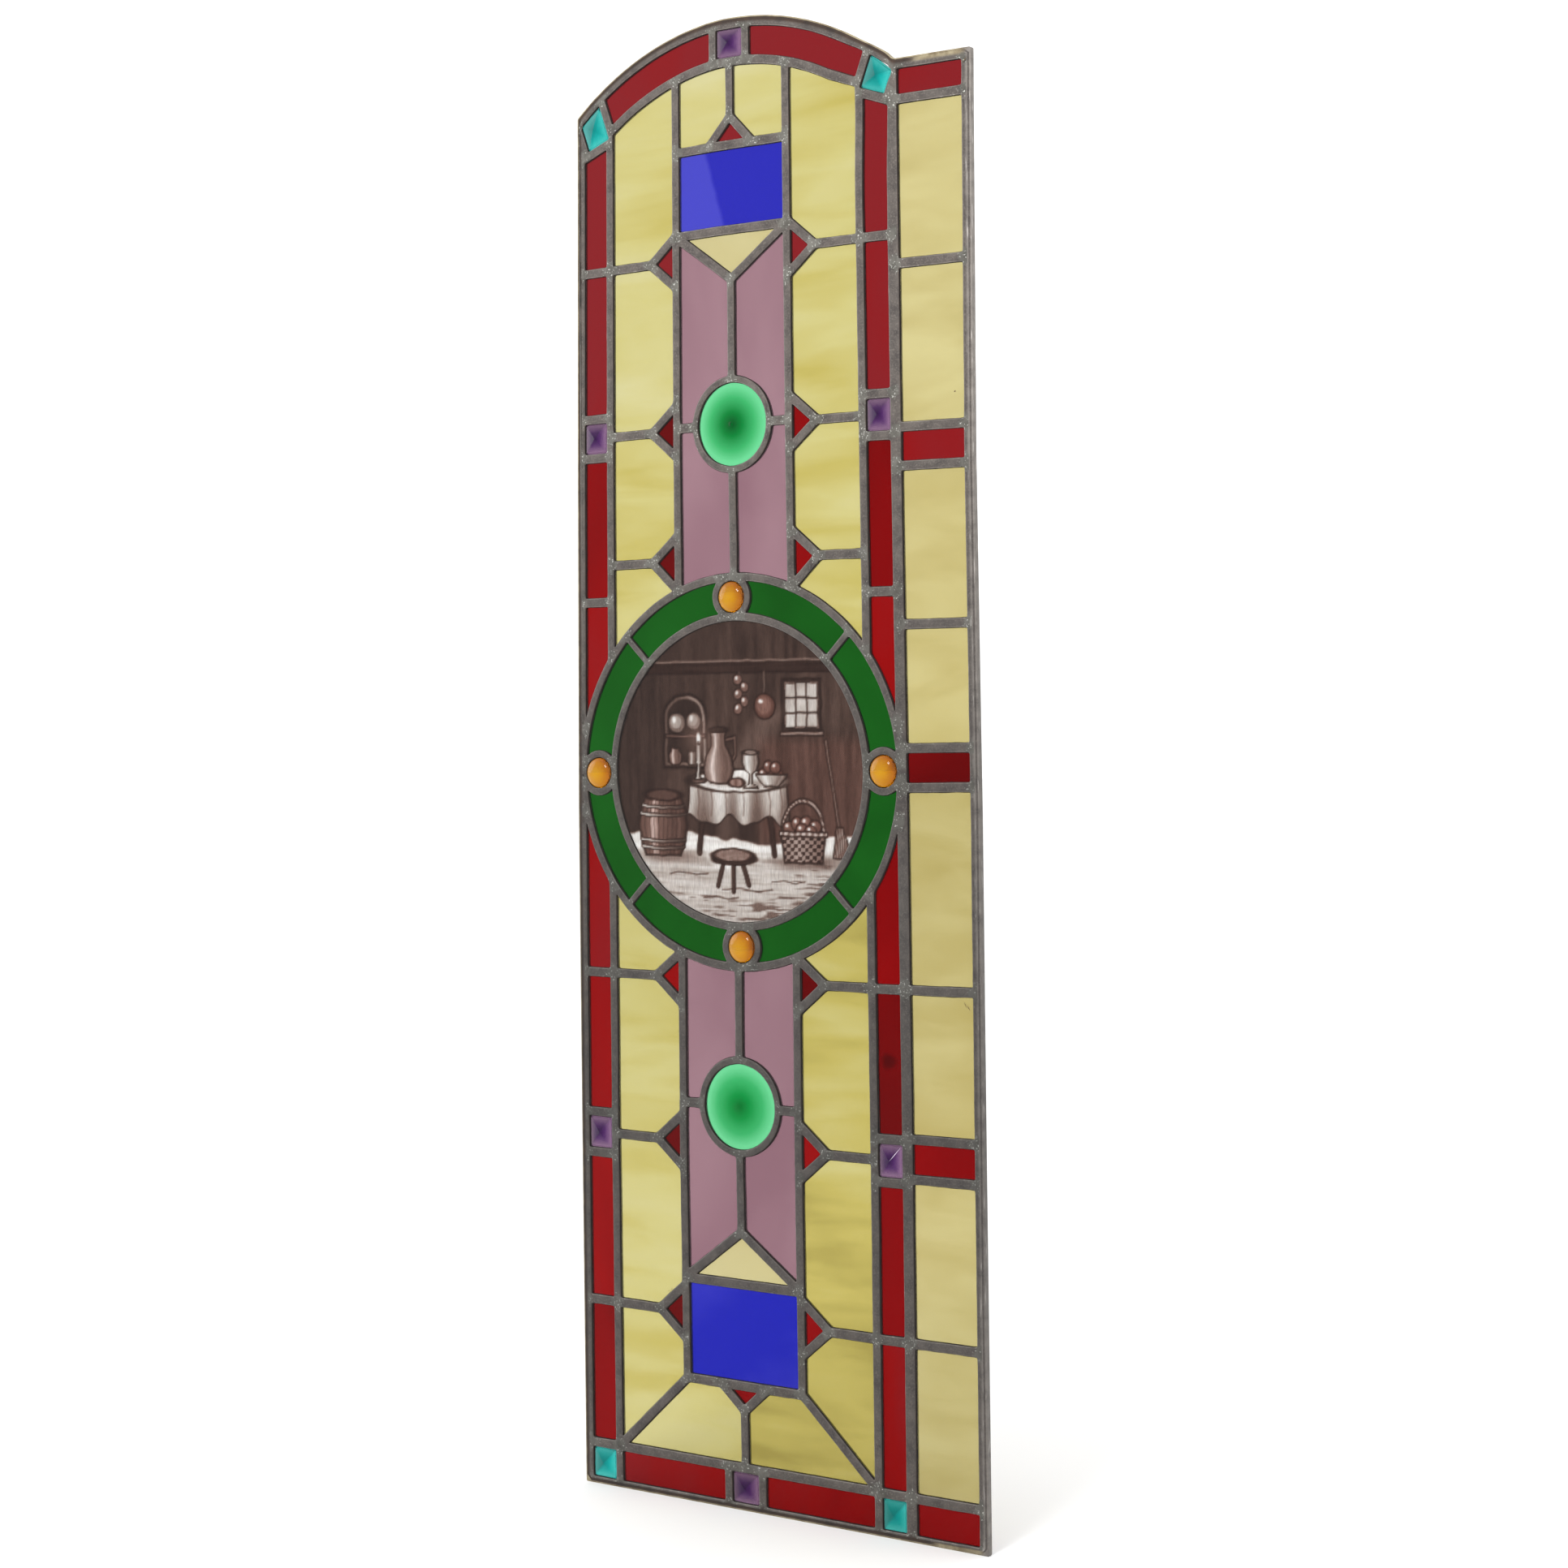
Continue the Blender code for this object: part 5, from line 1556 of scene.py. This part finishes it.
def build_glass():
    amber = amber_material()
    mints = {
        "high": mint_material("mint_glass_high", (0, 82, 30), (2, 138, 58)),
        "low": mint_material("mint_glass_low", (0, 118, 44), (10, 156, 70)),
    }
    painted = painted_material()
    jewels = {
        "purple": jewel_material("purple_glass", stops_of(
            (0.0, (52, 14, 74)), (0.45, (92, 52, 110)), (0.95, (152, 118, 148)),
        )),
        "teal": jewel_material("teal_glass", stops_of(
            (0.0, (0, 150, 145)), (0.5, (22, 179, 172)), (0.9, (76, 204, 196)),
        )),
    }
    blues = make_blues()
    draw = random.Random(5)
    for one in openings:
        node = one.node or ""
        seat = offset(one.edge, SEAT_REACH)
        if "cabochon" in node:
            piece = turned_glass(one.name, one, dome_profile(CABOCHON_RISE), [amber])
        elif "rondel" in node:
            level = "high" if one.middle.y > MIDDLE_HEIGHT else "low"
            profile = cone_profile(RONDEL_RISE, RONDEL_TIP if level == "high" else 0.0)
            piece = turned_glass(one.name, one, profile, [mints[level]])
        elif node == "painted_roundel":
            piece = painted_glass(one.name, one, painted)
        elif one.kind in ("purple", "teal"):
            piece = jewel(one.name, one, jewels[one.kind])
        elif "blue" in node:
            piece = slab(one.name, seat, [blues[node]])
        else:
            key = glass_for(one)
            piece = slab(one.name, seat, [GLASSES[key]])
        if not piece.data.color_attributes:
            tone = pane_tone(one, draw)
            paint(piece, "tone", [(tone, 0.0, 0.0, 1.0)] * len(piece.data.vertices))
        if one.node:
            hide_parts(one.node)


# The camera, placed and turned as the photograph was taken

CAMERA_PLACE = Vector((1.4039, -1.9390, 0.6623))
CAMERA_YAW = math.radians(35.600)
CAMERA_PITCH = math.radians(1.953)
CAMERA_ROLL = math.radians(-0.623)
PHOTO_SIDE = 1932
CAMERA_FOCAL = 3404 / PHOTO_SIDE
CAMERA_SHIFT = (0.0, -166 / PHOTO_SIDE)
FILM = 36.0


def place_camera():
    data = bpy.data.cameras.new("camera")
    data.sensor_width = FILM
    data.lens = CAMERA_FOCAL * FILM
    data.shift_x, data.shift_y = CAMERA_SHIFT
    data.clip_end = 100
    camera = bpy.data.objects.new("camera", data)
    bpy.context.scene.collection.objects.link(camera)
    forward = Vector((
        -math.sin(CAMERA_YAW) * math.cos(CAMERA_PITCH),
        math.cos(CAMERA_YAW) * math.cos(CAMERA_PITCH),
        math.sin(CAMERA_PITCH),
    ))
    level = Vector((math.cos(CAMERA_YAW), math.sin(CAMERA_YAW), 0))
    upright = level.cross(forward)
    right = level * math.cos(CAMERA_ROLL) + upright * math.sin(CAMERA_ROLL)
    up = upright * math.cos(CAMERA_ROLL) - level * math.sin(CAMERA_ROLL)
    turn = Matrix((right, up, -forward)).transposed()
    camera.matrix_world = Matrix.Translation(CAMERA_PLACE) @ turn.to_4x4()
    bpy.context.scene.camera = camera


# The plain studio: how far its floor runs, and each light's place, width and power

FLOOR_REACH = 40.0
FLOOR_GREY = 0.87
LIGHT_AIM = (0, 0, 0.6)
LIGHTS = {"key_light": ((0.5, -3.0, 2.7), 0.9, 55), "side_light": ((-3.6, -1.2, 1.8), 2.6, 24)}


def area_light(name, place, size, power):
    data = bpy.data.lights.new(name, "AREA")
    data.shape = "DISK"
    data.size = size
    data.energy = power
    lamp = bpy.data.objects.new(name, data)
    lamp.location = place
    lamp.rotation_euler = (Vector(LIGHT_AIM) - Vector(place)).to_track_quat("-Z", "Y").to_euler()
    bpy.context.scene.collection.objects.link(lamp)


def build_studio():
    mesh = bpy.data.meshes.new("studio_floor")
    corners = [(x * FLOOR_REACH, y * FLOOR_REACH, 0) for x, y in ((-1, -1), (1, -1), (1, 1), (-1, 1))]
    mesh.from_pydata(corners, [], [(0, 1, 2, 3)])
    floor = bpy.data.objects.new("studio_floor", mesh)
    shade = Shade("pale_floor", 0.8)
    shade.set("Base Color", (FLOOR_GREY, FLOOR_GREY, FLOOR_GREY, 1))
    mesh.materials.append(shade.made)
    bpy.context.scene.collection.objects.link(floor)
    world = bpy.data.worlds.new("studio_air")
    world.use_nodes = True
    back = world.node_tree.nodes["Background"]
    back.inputs["Color"].default_value = (1.0, 1.0, 1.0, 1)
    back.inputs["Strength"].default_value = STUDIO_LIGHT
    bpy.context.scene.world = world
    for name, light in LIGHTS.items():
        area_light(name, *light)
    bpy.context.scene.view_settings.view_transform = "Standard"


build_lead(lead_material())
build_putty(putty_material())
build_glass()
build_spot()
build_marks()
build_studio()
place_camera()
